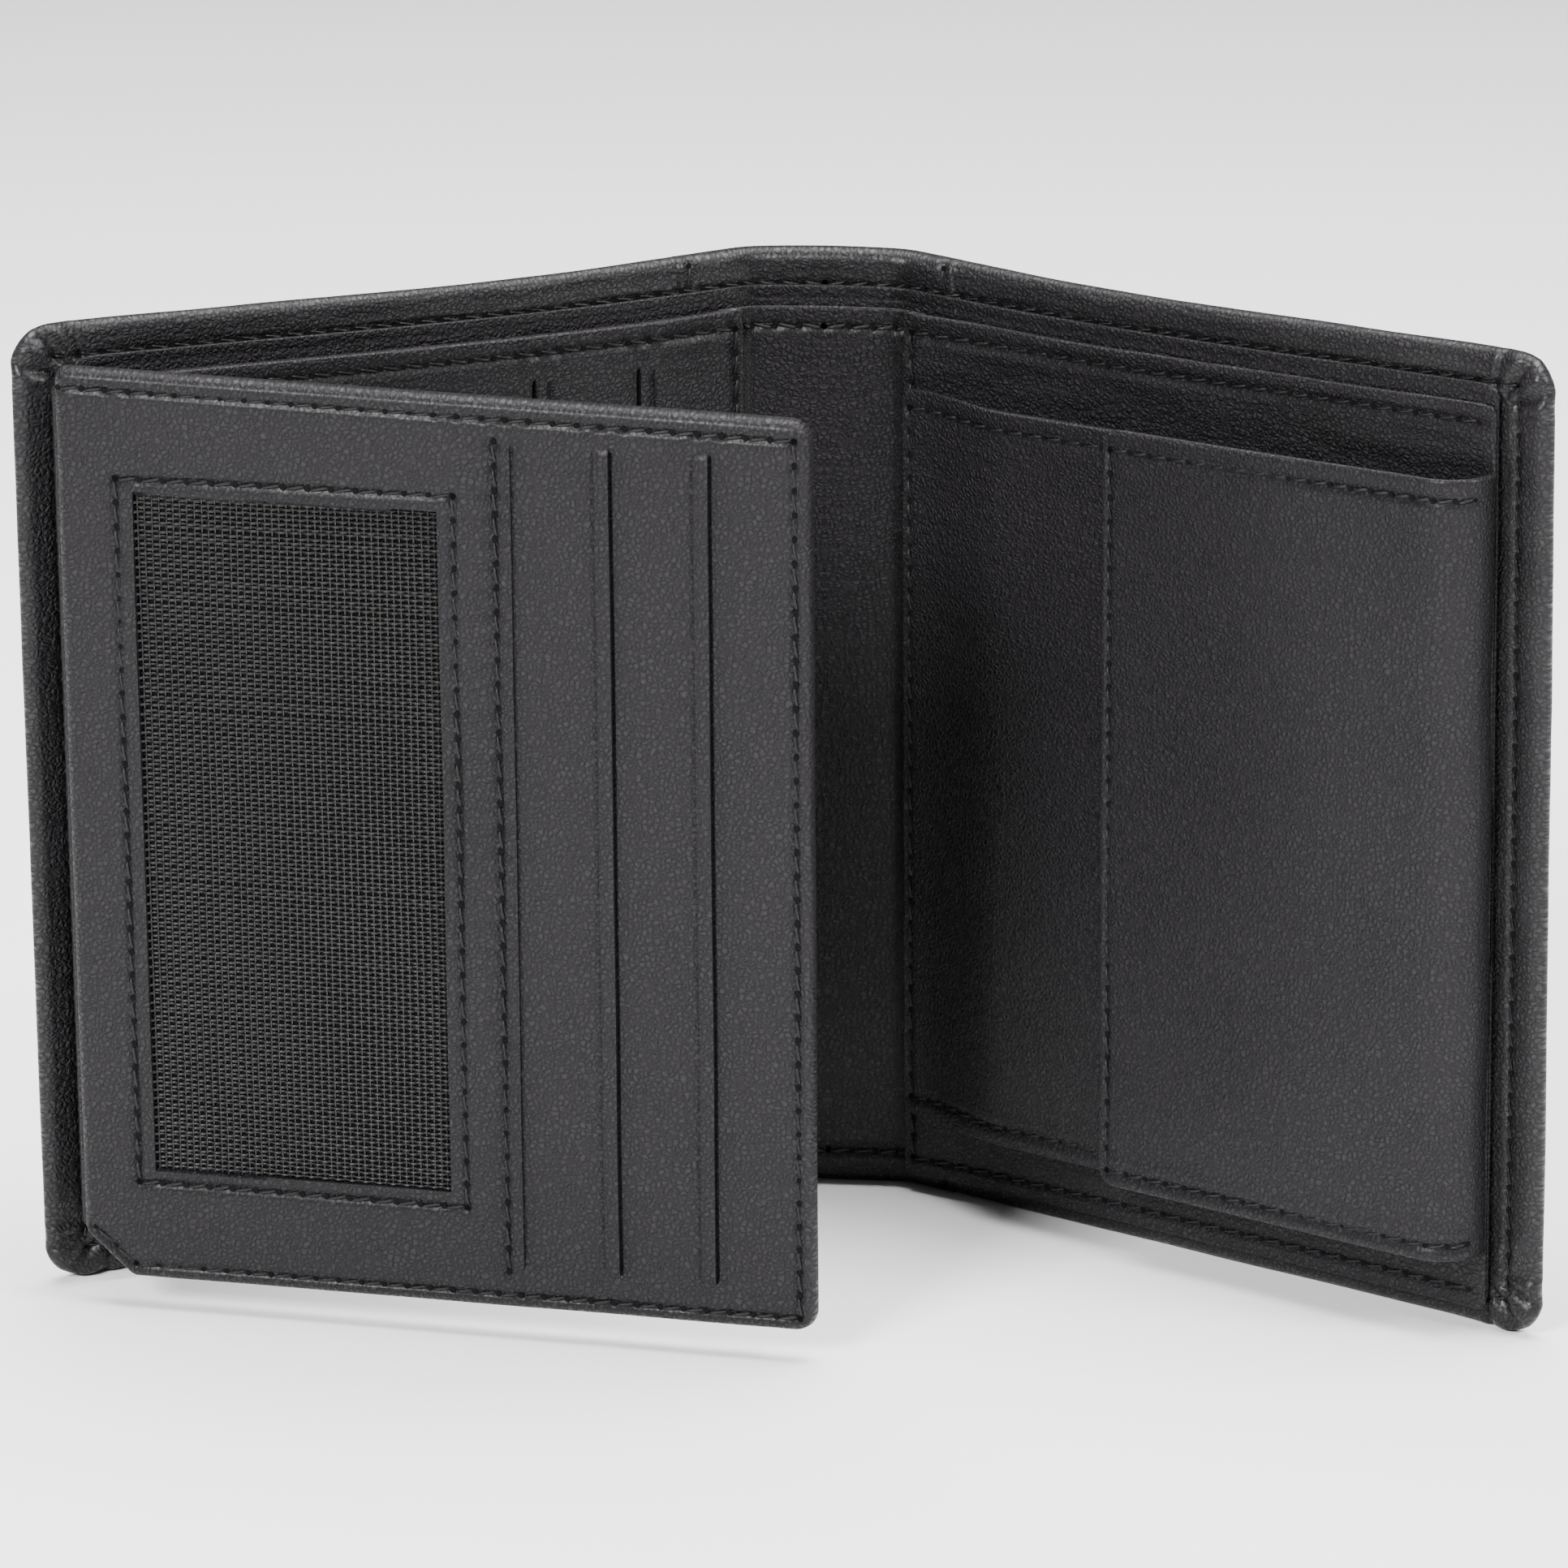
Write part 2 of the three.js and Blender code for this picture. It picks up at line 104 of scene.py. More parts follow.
def half(side):
    """Maps u outward from the fold, v up and w into the wallet to a point of that half."""

    def place(u, v, w):
        near_spine = np.exp(-(((u - MIDDLE) / ARCH_WIDTH) ** 2))
        v = v + ARCH * near_spine * np.clip((v - 90) / 30, 0, 1) ** 2
        edge = (np.clip(u - CURL_FROM, 0, None) / CURL_OVER) ** 2
        soft = edge * np.clip((7.0 - w) / 3.4, 0, 1)
        w, u = w + CURL[side] * soft, u + SPREAD[side] * soft
        if side > 0:
            u = u + FLARE * np.clip(1 - v / 120, 0, 1) * (np.clip(u, 0, None) / 93.6) ** 2
        turn = np.clip((u - TANGENT + ARC) / BEND_RADIUS, 0, BEND)
        past = np.maximum(u - TANGENT, 0)
        on_spine = np.minimum(u - TANGENT + ARC, 0)
        x = SPINE_HALF - TANGENT + on_spine + past * math.cos(BEND)
        x = x + (BEND_RADIUS - w) * np.sin(turn)
        y = SPINE_OUT - BEND_RADIUS + (BEND_RADIUS - w) * np.cos(turn) - past * math.sin(BEND)
        return np.stack(np.broadcast_arrays(side * x, y, v), -1) * MM

    return place


left, right = half(-1), half(1)
hinge = np.array(JOINTS["flap_hinge"]["pos_m"][:2]) / MM
back_points = vertices_of("flap_back_leather")[:, :2] - hinge
angles = np.arctan2(back_points[:, 1], back_points[:, 0])
flap_angle = angles.max()
flap_along = np.array([math.cos(flap_angle), math.sin(flap_angle)])
flap_front = np.array([flap_along[1], -flap_along[0]])


def flap(u, v, w):
    """Maps u from the hinge, v up and w towards the flap's front to a point of the flap."""
    x = hinge[0] + u * flap_along[0] + w * flap_front[0]
    y = hinge[1] + u * flap_along[1] + w * flap_front[1]
    return np.stack(np.broadcast_arrays(x, y, v), -1) * MM


def span(node, side):
    """The ranges of a CAD node along its half, up, and into the wallet."""
    points = vertices_of(node) * (side, 1, 1)
    flat = points[:, :2] - fold_line
    u, w = flat @ along, -flat @ unit(outward)
    return (u.min(), u.max()), (points[:, 2].min(), points[:, 2].max()), (w.min(), w.max())


def flap_span(node):
    """The ranges of a CAD node from the hinge along the flap, up, and towards its front."""
    points = vertices_of(node)
    flat = points[:, :2] - hinge
    u, w = flat @ flap_along, flat @ flap_front
    return (u.min(), u.max()), (points[:, 2].min(), points[:, 2].max()), (w.min(), w.max())


print("fold at", np.round(fold_line, 2), "bend", round(math.degrees(BEND), 2), "middle", round(MIDDLE, 2))
print("flap angle", round(math.degrees(flap_angle), 2), "flap", flap_span("flap_front_leather"))

# %% [markdown]
# Leather work is sheets with turned edges. One function makes any such sheet: a grid of points
# with its lines crowded at the rims, a rounded edge all round, rounded corners, and a relief
# on each face for stitch pulls, slits and ripples.

# %% Grids for the leather sheets
RIM_STEPS = 5
CLOSEST = 0.09
CUT = 0.012
JOIN = 0.005  # where two halves of one leather meet


def lines(low, high, rims=(1, 1), step=1.0, marks=(), cuts=()):
    """Grid lines from low to high, crowded at the rims and round each mark, doubled at each cut."""
    found = list(np.linspace(low + rims[0], high - rims[1], max(2, round((high - low) / step / QUICK))))
    for k in range(RIM_STEPS):
        share = 1 - math.cos(k * math.pi / 2 / RIM_STEPS)
        found += [low + share * rims[0], high - share * rims[1]]
    for mark in marks:
        found += [mark + shift for shift in (-1.5, -0.9, -0.5, -0.22, 0, 0.22, 0.5, 0.9, 1.5)]
    kept = [low]
    for value in sorted(found):
        clear = all(abs(value - cut) > CLOSEST for cut in cuts)
        if value > kept[-1] + CLOSEST and value < high - 0.02 and clear:
            kept.append(value)
    kept += [low + rims[0]] * (rims[0] < CLOSEST) + [high - rims[1]] * (rims[1] < CLOSEST)
    for cut in cuts:
        kept += [cut - CUT, cut + CUT]
    return np.array(sorted(kept) + [high])


def round_corner(U, V, u_end, v_end, u_way, v_way, radius):
    """Bends the grid's square corner into a quarter circle, and gives each point's way in."""
    u_centre, v_centre = u_end - u_way * radius, v_end - v_way * radius
    a = np.clip((U - u_centre) * u_way / radius, 0, 1)
    b = np.clip((V - v_centre) * v_way / radius, 0, 1)
    inside = (a > 0) & (b > 0)
    u_new = u_centre + u_way * radius * a * np.sqrt(1 - b * b / 2)
    v_new = v_centre + v_way * radius * b * np.sqrt(1 - a * a / 2)
    way_in = radius - np.hypot(u_new - u_centre, v_new - v_centre)
    return inside, u_new, v_new, way_in


def number_or_call(value, U, V):
    return value(U, V) if callable(value) else np.full(U.shape, float(value))


def mesh_of(name, points, faces, uvs=None):
    """A smooth mesh object from points in metres."""
    mesh = bpy.data.meshes.new(name)
    mesh.from_pydata(points.tolist(), [], faces)
    if uvs is not None:
        layer = mesh.uv_layers.new(name="UVMap")
        index = np.zeros(len(mesh.loops), int)
        mesh.loops.foreach_get("vertex_index", index)
        layer.data.foreach_set("uv", uvs[index].astype(np.float32).ravel())
    work = bmesh.new()
    work.from_mesh(mesh)
    bmesh.ops.recalc_face_normals(work, faces=work.faces)
    work.to_mesh(mesh)
    work.free()
    mesh.polygons.foreach_set("use_smooth", [True] * len(mesh.polygons))
    mesh.set_sharp_from_angle(angle=math.radians(52))
    piece = bpy.data.objects.new(name, mesh)
    bpy.context.scene.collection.objects.link(piece)
    return piece


def slab(name, place, us, vs, front, back, rims=(1, 1, 1, 1), corners=(0, 0, 0, 0), shape=None):
    """A closed sheet between two depths. rims and corners go left, right, low, high and
    low-left, low-right, high-left, high-right."""
    U, V = np.meshgrid(us, vs, indexing="ij")
    ways_in = [(U - us[0]) / rims[0], (us[-1] - U) / rims[1]]
    ways_in += [(V - vs[0]) / rims[2], (vs[-1] - V) / rims[3]]
    share = np.minimum.reduce(ways_in)
    ends = ((us[0], vs[0], -1, -1), (us[-1], vs[0], 1, -1), (us[0], vs[-1], -1, 1), (us[-1], vs[-1], 1, 1))
    for radius, (u_end, v_end, u_way, v_way) in zip(corners, ends):
        if radius:
            inside, u_new, v_new, way_in = round_corner(U, V, u_end, v_end, u_way, v_way, radius)
            rim = rims[0] if u_way < 0 else rims[1]
            U, V = np.where(inside, u_new, U), np.where(inside, v_new, V)
            share = np.where(inside, way_in / rim, share)
    if shape:
        U, V = shape(U, V)
    full = np.sqrt(1 - (1 - np.clip(share, 0, 1)) ** 2)
    ahead, behind = number_or_call(front, U, V), number_or_call(back, U, V)
    middle, thick = (ahead + behind) / 2, (ahead - behind) / 2
    faces_of_grid = [place(U, V, middle + way * thick * full).reshape(-1, 3) for way in (1, -1)]
    rows, columns = U.shape
    count = rows * columns
    index = np.arange(count).reshape(rows, columns)
    other = index + count
    edge = np.ones_like(index, bool)
    edge[1:-1, 1:-1] = False
    other = np.where(edge, index, other)

    def quads(grid):
        return np.stack([grid[:-1, :-1], grid[1:, :-1], grid[1:, 1:], grid[:-1, 1:]], -1).reshape(-1, 4)

    used = np.unique(np.concatenate([index.ravel(), other.ravel()]))
    renumber = np.zeros(2 * count, int)
    renumber[used] = np.arange(len(used))
    quad_list = renumber[np.concatenate([quads(index), quads(other)])]
    points = np.concatenate(faces_of_grid)[used]
    uvs = np.tile(np.stack([U, V], -1).reshape(-1, 2), (2, 1))[used]
    return mesh_of(name, points, quad_list.tolist(), uvs)


# %% [markdown]
# Stitches: a sewing machine pulls the leather down along the row and most of all at each
# needle hole, so the surface puffs up in small scallops between the holes. The thread itself
# is one short capsule a stitch, sunk at both ends and turned a few degrees from the row.

# %% Stitch rows
PITCH = 2.9
PULL = 0.42
THREAD = 0.17
THREAD_SIDES, HOLE_SIDES = 6, 8
THREAD_TURN = 0.2  # a stitch's ends lie this far to either side of its row
HOLE, HOLE_SUNK = 0.36, -0.16
STITCH_RINGS = [(-1, 0.4, -0.42), (-0.78, 0.9, -0.16), (-0.35, 1, -0.04)]  # share, girth, rise
STITCH_RINGS += [(-share, girth, rise) for share, girth, rise in reversed(STITCH_RINGS)]


def stretches(rows):
    """Each straight stretch of the rows: start, direction, length and number of stitches."""
    for row in rows:
        for (u0, v0), (u1, v1) in zip(row[:-1], row[1:]):
            length = math.hypot(u1 - u0, v1 - v0)
            yield u0, v0, (u1 - u0) / length, (v1 - v0) / length, length, max(1, round(length / PITCH))


def three_sides(open_at, closed_at, low, high):
    """A row of stitches round three sides of a panel."""
    return [(open_at, low), (closed_at, low), (closed_at, high), (open_at, high)]


def pulled(rows, depth=PULL):
    """The relief of sewn rows, each a list of points."""

    def relief(U, V):
        total = np.zeros(U.shape)
        for u0, v0, e_u, e_v, length, count in stretches(rows):
            run = (U - u0) * e_u + (V - v0) * e_v
            aside = np.abs((V - v0) * e_u - (U - u0) * e_v)
            past = np.maximum(np.maximum(-run, run - length), 0)
            fade = np.exp(-((past / 0.8) ** 2))
            hole = 0.5 + 0.5 * np.cos(2 * math.pi * run * count / length)
            dip = np.exp(-((aside / 0.55) ** 2)) * (0.45 + 0.75 * hole)
            puff = 0.5 * np.exp(-(((aside - 1.35) / 0.7) ** 2)) * (1.2 - hole)
            total = np.minimum(total, -depth * dip * fade) + depth * puff * fade * (total > -0.02)
        return total

    return relief


def hole_outline(at):
    """A needle hole's rim: points along the row, beside it and above it."""
    turns = [2 * math.pi * corner / HOLE_SIDES for corner in range(HOLE_SIDES)]
    return [(at + HOLE * math.cos(turn), HOLE * math.sin(turn), HOLE_SUNK) for turn in turns]


def stitch_outline(at, reach):
    """One stitch as rings of points along the row, beside it and above it."""
    outline = []
    for share, girth, rise in STITCH_RINGS:
        for corner in range(THREAD_SIDES):
            turn = 2 * math.pi * corner / THREAD_SIDES
            aside = THREAD * girth * math.cos(turn) + THREAD_TURN * share
            outline.append((at + share * reach, aside, THREAD * 0.8 * girth * math.sin(turn) + rise))
    return outline


def tube_faces(first, rings, sides):
    """The faces of a closed tube whose rings of points start at the index first."""
    faces = []
    for ring in range(rings - 1):
        for corner in range(sides):
            a = first + ring * sides + corner
            b = first + ring * sides + (corner + 1) % sides
            faces.append([a, b, b + sides, a + sides])
    last = first + (rings - 1) * sides
    faces.append([first + corner for corner in range(sides)])
    faces.append([last + corner for corner in reversed(range(sides))])
    return faces


def threads(name, place, rows, surface, way=1):
    """The thread of sewn rows and its needle holes as one mesh, on the face that way points to."""
    points, tubes, holes = [], [], []
    for u0, v0, e_u, e_v, length, count in stretches(rows):
        stitch = length / count
        outline = []
        for k in range(count + 1):
            holes.append([len(points) + len(outline) + corner for corner in range(HOLE_SIDES)])
            outline += hole_outline(k * stitch)
        for k in range(count):
            tubes += tube_faces(len(points) + len(outline), len(STITCH_RINGS), THREAD_SIDES)
            outline += stitch_outline((k + 0.5) * stitch, 0.4 * stitch)
        points += [(u0 + a * e_u - b * e_v, v0 + a * e_v + b * e_u, rise) for a, b, rise in outline]
    u, v, rise = np.array(points).T
    depth = number_or_call(surface, u, v) + way * (rise - 0.05)
    piece = mesh_of(name, place(u, v, depth), tubes + holes, np.stack([u, v], -1))
    piece.data.materials.append(THREAD_BLACK)
    # Each needle hole is a flat near-black disc: painted shade for the inside of the hole.
    piece.data.materials.append(NEEDLE_HOLE_SHADE)
    piece.data.polygons.foreach_set("material_index", [0] * len(tubes) + [1] * len(holes))
    return piece


def waves(seed, length, height, stretch=1.0):
    """Gentle unevenness of leather: a few seeded sine waves in many directions."""
    dice = np.random.default_rng(seed)
    turns, phases = dice.uniform(0, math.pi, 9), dice.uniform(0, 2 * math.pi, 9)
    sizes = length * dice.uniform(0.6, 1.7, 9)

    def relief(U, V):
        total = np.zeros(U.shape)
        for turn, phase, size in zip(turns, phases, sizes):
            total += np.sin(2 * math.pi * (U * math.cos(turn) / stretch + V * math.sin(turn)) / size + phase)
        return height * total / 3

    return relief


def step_up(value, at, width):
    """0 before at, 1 after it, smooth over the width."""
    share = np.clip((value - at) / width + 0.5, 0, 1)
    return share * share * (3 - 2 * share)


# %% [markdown]
# Finishes. A small class lets shader maths be written as sums; leather is one recipe with
# different numbers: pebbled grain from warped cells, finer pores, long soft creases, and a thin
# gloss coat that is strongest on the pebbles, so that the face is satin and not plastic.

# %% Shader graph helper
class Socket:
    """An output in a material that can be added, multiplied and so on."""

    def __init__(self, graph, output):
        self.graph, self.output = graph, output

    def math(self, operation, first, second):
        return self.graph.node("ShaderNodeMath", {"operation": operation}, {0: first, 1: second})

    def __add__(self, other):
        return self.math("ADD", self, other)

    def __radd__(self, other):
        return self.math("ADD", other, self)

    def __sub__(self, other):
        return self.math("SUBTRACT", self, other)

    def __rsub__(self, other):
        return self.math("SUBTRACT", other, self)

    def __mul__(self, other):
        return self.math("MULTIPLY", self, other)

    def __rmul__(self, other):
        return self.math("MULTIPLY", other, self)

    def __truediv__(self, other):
        return self.math("DIVIDE", self, other)

    def __rtruediv__(self, other):
        return self.math("DIVIDE", other, self)

    def __pow__(self, other):
        return self.math("POWER", self, other)


class Graph:
    """A material's nodes. node() makes any node from its type, settings and inputs."""

    def __init__(self, name):
        self.material = bpy.data.materials.new(name)
        self.material.use_nodes = True
        self.tree = self.material.node_tree
        self.shader = self.tree.nodes["Principled BSDF"]

    def feed(self, socket, value):
        if isinstance(value, Socket):
            self.tree.links.new(value.output, socket)
        elif isinstance(value, (tuple, list)) and len(value) == 3 and socket.type == "RGBA":
            socket.default_value = (*value, 1)
        else:
            socket.default_value = value

    def node(self, kind, settings=None, inputs=None, out=0):
        made = self.tree.nodes.new(kind)
        for key, value in (settings or {}).items():
            setattr(made, key, value)
        for key, value in (inputs or {}).items():
            self.feed(made.inputs[key], value)
        return Socket(self, made.outputs[out])

    def mix(self, factor, first, second):
        """A colour between two colours."""
        inputs = {0: factor, 6: first, 7: second}
        return self.node("ShaderNodeMix", {"data_type": "RGBA"}, inputs, 2)

    def scaled(self, vector, factors):
        return self.node("ShaderNodeVectorMath", {"operation": "MULTIPLY"}, {0: vector, 1: factors})

    def moved(self, vector, shift):
        return self.node("ShaderNodeVectorMath", {"operation": "ADD"}, {0: vector, 1: shift})

    def ramp(self, value, low, high):
        """value, stretched from low..high to 0..1 and clamped."""
        inputs = {0: value, 1: low, 2: high, 3: 0.0, 4: 1.0}
        return self.node("ShaderNodeMapRange", {"clamp": True}, inputs)

    def finish(self, **inputs):
        for key, value in inputs.items():
            self.feed(self.shader.inputs[key.replace("_", " ")], value)
        return self.material


def bumped(graph, height, distance):
    """A bump from a height, with its distance in millimetres."""
    inputs = {"Height": height, "Distance": distance * MM, "Strength": 1.0}
    return graph.node("ShaderNodeBump", None, inputs)


# %% [markdown]
# The finishes themselves. Leather could be painted with pictures, but a recipe of noise and cells
# stays sharp at every distance and needs no files. Black leather is never fully black: nearly
# all of its look is gloss, so the colours are very dark and the coat and roughness do the work.

# %% Leather, cloth, thread and steel
def leather(name, colour, roughness=0.5, grain=0.1, crease=0.25, coat=0.0):
    """Black nappa on the sheet's own millimetre map."""
    graph = Graph(name)
    flat = graph.node("ShaderNodeTexCoord", out=2)
    warp = graph.node("ShaderNodeTexNoise", None, {"Vector": flat, "Scale": 0.5, "Detail": 3.0}, 1)
    bent = graph.moved(flat, graph.scaled(warp, (0.55, 0.55, 0)))
    cells = graph.node("ShaderNodeTexVoronoi", {"feature": "DISTANCE_TO_EDGE"}, {"Vector": bent, "Scale": 1.5})
    pebble = graph.ramp(cells, 0.0, 0.28)
    pores = graph.node("ShaderNodeTexNoise", None, {"Vector": flat, "Scale": 3.2, "Detail": 4.0})
    long_way = graph.scaled(flat, (0.07, 0.26, 0))
    creases = graph.node("ShaderNodeTexNoise", None, {"Vector": long_way, "Scale": 1.6, "Detail": 6.0})
    patches = graph.node("ShaderNodeTexNoise", None, {"Vector": flat, "Scale": 0.05, "Detail": 3.0})
    fold_lines = graph.ramp(creases, 0.46, 0.53)
    height = pebble * 0.6 + pores * 0.7 + fold_lines * crease
    shade = graph.ramp(patches, 0.3, 0.7)
    dark = tuple(0.72 * c for c in colour)
    light = tuple(1.22 * c for c in colour)
    tone = graph.mix(shade * 0.45 + pebble * 0.4, dark, light)
    normal = bumped(graph, height, grain)
    rough = roughness + (1 - pebble) * 0.2 + (shade - 0.5) * 0.1
    shine = coat * (0.45 + 0.55 * graph.ramp(pores, 0.4, 0.66)) * (0.4 + 0.6 * pebble)
    gloss = {"Coat_Roughness": 0.36, "Specular_IOR_Level": 0.16, "Specular_Tint": (1.0, 0.93, 0.99)}
    return graph.finish(Base_Color=tone, Roughness=rough, Normal=normal, Coat_Weight=shine, **gloss)


def cloth(name, colour, scale=1.6):
    graph = Graph(name)
    flat = graph.node("ShaderNodeTexCoord", out=2)
    lie = {"wave_type": "BANDS", "bands_direction": "X"}
    across = graph.node("ShaderNodeTexWave", lie, {"Vector": flat, "Scale": scale})
    stand = {"wave_type": "BANDS", "bands_direction": "Y"}
    up = graph.node("ShaderNodeTexWave", stand, {"Vector": flat, "Scale": scale})
    weave = across * up
    tone = graph.mix(weave, tuple(0.6 * c for c in colour), tuple(1.3 * c for c in colour))
    normal = bumped(graph, weave, 0.1)
    return graph.finish(Base_Color=tone, Roughness=0.85, Normal=normal, Specular_IOR_Level=0.15)


def thread_finish(name, colour):
    graph = Graph(name)
    flat = graph.node("ShaderNodeTexCoord", out=2)
    twist = graph.node("ShaderNodeTexNoise", None, {"Vector": flat, "Scale": 3.0, "Detail": 2.0})
    tone = graph.mix(twist, tuple(0.7 * c for c in colour), tuple(1.5 * c for c in colour))
    normal = bumped(graph, twist, 0.08)
    return graph.finish(Base_Color=tone, Roughness=0.5, Normal=normal, Specular_IOR_Level=0.25)


def yarn_finish(name, colour):
    """Nylon monofilament: dark, with small bright glints where a yarn rises."""
    graph = Graph(name)
    flat = graph.node("ShaderNodeTexCoord", out=2)
    level_way = graph.scaled(flat, (0.4, 2.0, 1.0))
    patches = graph.node("ShaderNodeTexNoise", None, {"Vector": level_way, "Scale": 0.4, "Detail": 4.0})
    tone = graph.mix(patches, tuple(0.6 * c for c in colour), tuple(1.7 * c for c in colour))
    return graph.finish(Base_Color=tone, Roughness=0.3 + patches * 0.15, Specular_IOR_Level=0.5)


def steel(name, colour):
    graph = Graph(name)
    place = graph.node("ShaderNodeTexCoord", out=3)
    scuffs = graph.node("ShaderNodeTexNoise", None, {"Vector": place, "Scale": 900.0, "Detail": 3.0})
    rough = 0.24 + scuffs * 0.2
    tone = graph.mix(scuffs, tuple(0.8 * c for c in colour), colour)
    return graph.finish(Base_Color=tone, Metallic=1.0, Roughness=rough)


COVER = leather("cover_nappa", (0.0075, 0.0069, 0.0077), 0.40, grain=0.42, crease=0.5, coat=0.7)
INNER = leather("inner_nappa", (0.0062, 0.0056, 0.0064), 0.40, grain=0.34, crease=0.3, coat=0.4)
FLAP = leather("flap_nappa", (0.0078, 0.0072, 0.0082), 0.44, grain=0.44, crease=0.12, coat=0.42)
LINING = cloth("lining_weave", (0.011, 0.011, 0.012))
THREAD_BLACK = thread_finish("thread_black", (0.006, 0.0055, 0.006))
# Needle holes: near-black, as painted shade for the inside of each hole.
NEEDLE_HOLE_SHADE = cloth("needle_hole_shade", (0.0015, 0.0015, 0.0015))
# Window backing: a black cloth, darkened further as painted shade for the recess behind the net.
WINDOW_CLOTH_AND_SHADE = cloth("window_cloth_and_shade", (0.001, 0.001, 0.001))
YARN = yarn_finish("mesh_yarn", (0.0075, 0.0073, 0.007))
STEEL = steel("stud_nickel", (0.34, 0.34, 0.35))
print("materials", len(bpy.data.materials))

# %% [markdown]
# How pieces are held. A sheet that crosses a fold could be cut in two at the fold, but then a
# gap opens as the cover turns. So it stays one sheet, baked in place, and everything else
# rides on one body.

# %% Holding and finishing pieces
BLEND_REACH = 3.4
HALF_HEIGHT = 60.0


def point_at(place, u, v, w):
    """One point of a half or a sheet as a plain tuple."""
    return tuple(map(float, place(np.array(u), np.array(v), np.array(w))))


for body, place in (("left_cover", left), ("right_cover", right)):
    [point_at(place, u, HALF_HEIGHT, 3.0) for u in (-BLEND_REACH, BLEND_REACH)]


def keep(piece, body, material, folds=False, replaces=()):
    """Gives a piece its finish and hides the parts it replaces; with folds it is baked in place, else it rides
    on its body.
    """
    if not piece.data.materials:
        piece.data.materials.append(material)
    if folds:
        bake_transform(piece)
    else:
        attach(piece, body)
    if replaces:
        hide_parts(*replaces)
    return piece


def made(*names):
    """Takes the names of a step's finished pieces and does nothing with them."""


HALVES = (("left", -1, left, "left_cover"), ("right", 1, right, "right_cover"))

# %% [markdown]
# The outer cover. One leather is turned over all three free edges, glued down over the lining
# and sewn 4 mm in. The spine is a separate strip that laps over both covers, with its own row
# of stitches about 8 mm outside each fold. It could be one swept sheet, but a height grid takes the
# hem, the seam and the corner pleats together. Each half runs to the middle of the spine.

# %% The outer cover
HEM = 7.2
SEAM_AT = {-1: 9.8, 1: 8.2}
SEAM_LIFT = 0.35
HEM_ROW = 4.0
CORNER = 4.6
EDGE_ROUND = 1.5
LINING_DEPTH = 1.9
PLEAT = 0.9


def pleats(u_centre, v_centre, v_way):
    """Gathered leather where the hem turns the corner."""

    def relief(U, V):
        a, b = U - u_centre, (V - v_centre) * v_way
        angle = np.arctan2(b, a)
        radius = np.hypot(a, b)
        inside = (a > 0) & (b > 0) & (radius > 1)
        fold = np.abs(np.sin(angle * 7)) - 0.5
        fade = np.clip((radius - 1) / 4, 0, 1) * np.clip(a / 1.2, 0, 1) * np.clip(b / 1.2, 0, 1)
        return np.where(inside, PLEAT * fold * fade, 0)

    return relief


def build_cover(name, side, place, body):
    (_, end), (low, high), (_, deep) = span(name + "_cover_leather", side)
    seam_at = SEAM_AT[side]
    hem_rows = [three_sides(MIDDLE, end - HEM_ROW, high - HEM_ROW, low + HEM_ROW)]
    row_at = seam_at - 1.4
    seam_out = [(row_at, low + 1.2), (row_at, high - 1.2)]
    seam_in = [[(row_at, high - HEM), (row_at, high - 1)], [(row_at, low + HEM), (row_at, low + 1)]]
    sewn, sewn_out = pulled(hem_rows + seam_in), pulled(hem_rows + [seam_out])
    ripple, ripple_out = waves(3, 9, 0.09, 2.2), waves(7, 24, 0.16)
    tops, lows = pleats(end - 8, high - 8, 1), pleats(end - 8, low + 8, -1)

    def lap(U):
        return SEAM_LIFT * (1 - step_up(U, seam_at, 0.3))

    def front(U, V):
        inside = np.minimum.reduce([end - U, V - low, high - V])
        hem = 1 - step_up(inside, HEM, 0.35)
        face = deep + sewn(U, V) + ripple(U, V) + lap(U) + tops(U, V) + lows(U, V)
        return LINING_DEPTH + hem * (face - LINING_DEPTH)

    def back(U, V):
        return -sewn_out(U, V) - lap(U) + ripple_out(U, V)

    us = lines(MIDDLE, end, (JOIN, EDGE_ROUND), 1.3, (seam_at, row_at, end - HEM, end - HEM_ROW))
    marks = (low + HEM, high - HEM, low + HEM_ROW, high - HEM_ROW)
    vs = lines(low, high, (EDGE_ROUND, EDGE_ROUND), 0.8, marks)
    rims = (JOIN, EDGE_ROUND, EDGE_ROUND, EDGE_ROUND)
    cover = slab(name + "_cover", place, us, vs, front, back, rims, (0, CORNER, 0, CORNER))
    hidden = [name + "_cover_leather", name + "_cover_board"]
    keep(cover, body, COVER, True, hidden + (["spine_cover"] if side < 0 else []))
    inner = threads(name + "_hem_thread", place, hem_rows + seam_in, lambda u, v: deep + lap(u), 1)
    outer = threads(name + "_cover_thread", place, hem_rows + [seam_out], lambda u, v: -lap(u), -1)
    for thread in (inner, outer):
        keep(thread, body, THREAD_BLACK, True)


for name, side, place, body in HALVES:
    build_cover(name, side, place, body)
    made(name + "_cover", name + "_hem_thread", name + "_cover_thread")

# %% [markdown]
# The note compartment: a cloth lining under the hem and a leather divider whose folded top
# edge shows between hem and inner panel. Both are wide sheets that bend round the folds, and
# each half is its own piece, because a piece can bend between two bodies only.

# %% Lining and note divider
DIVIDER_EDGE = 0.25
LAYERS_IN = 2.7  # the inner layers end short of the hem's stitches


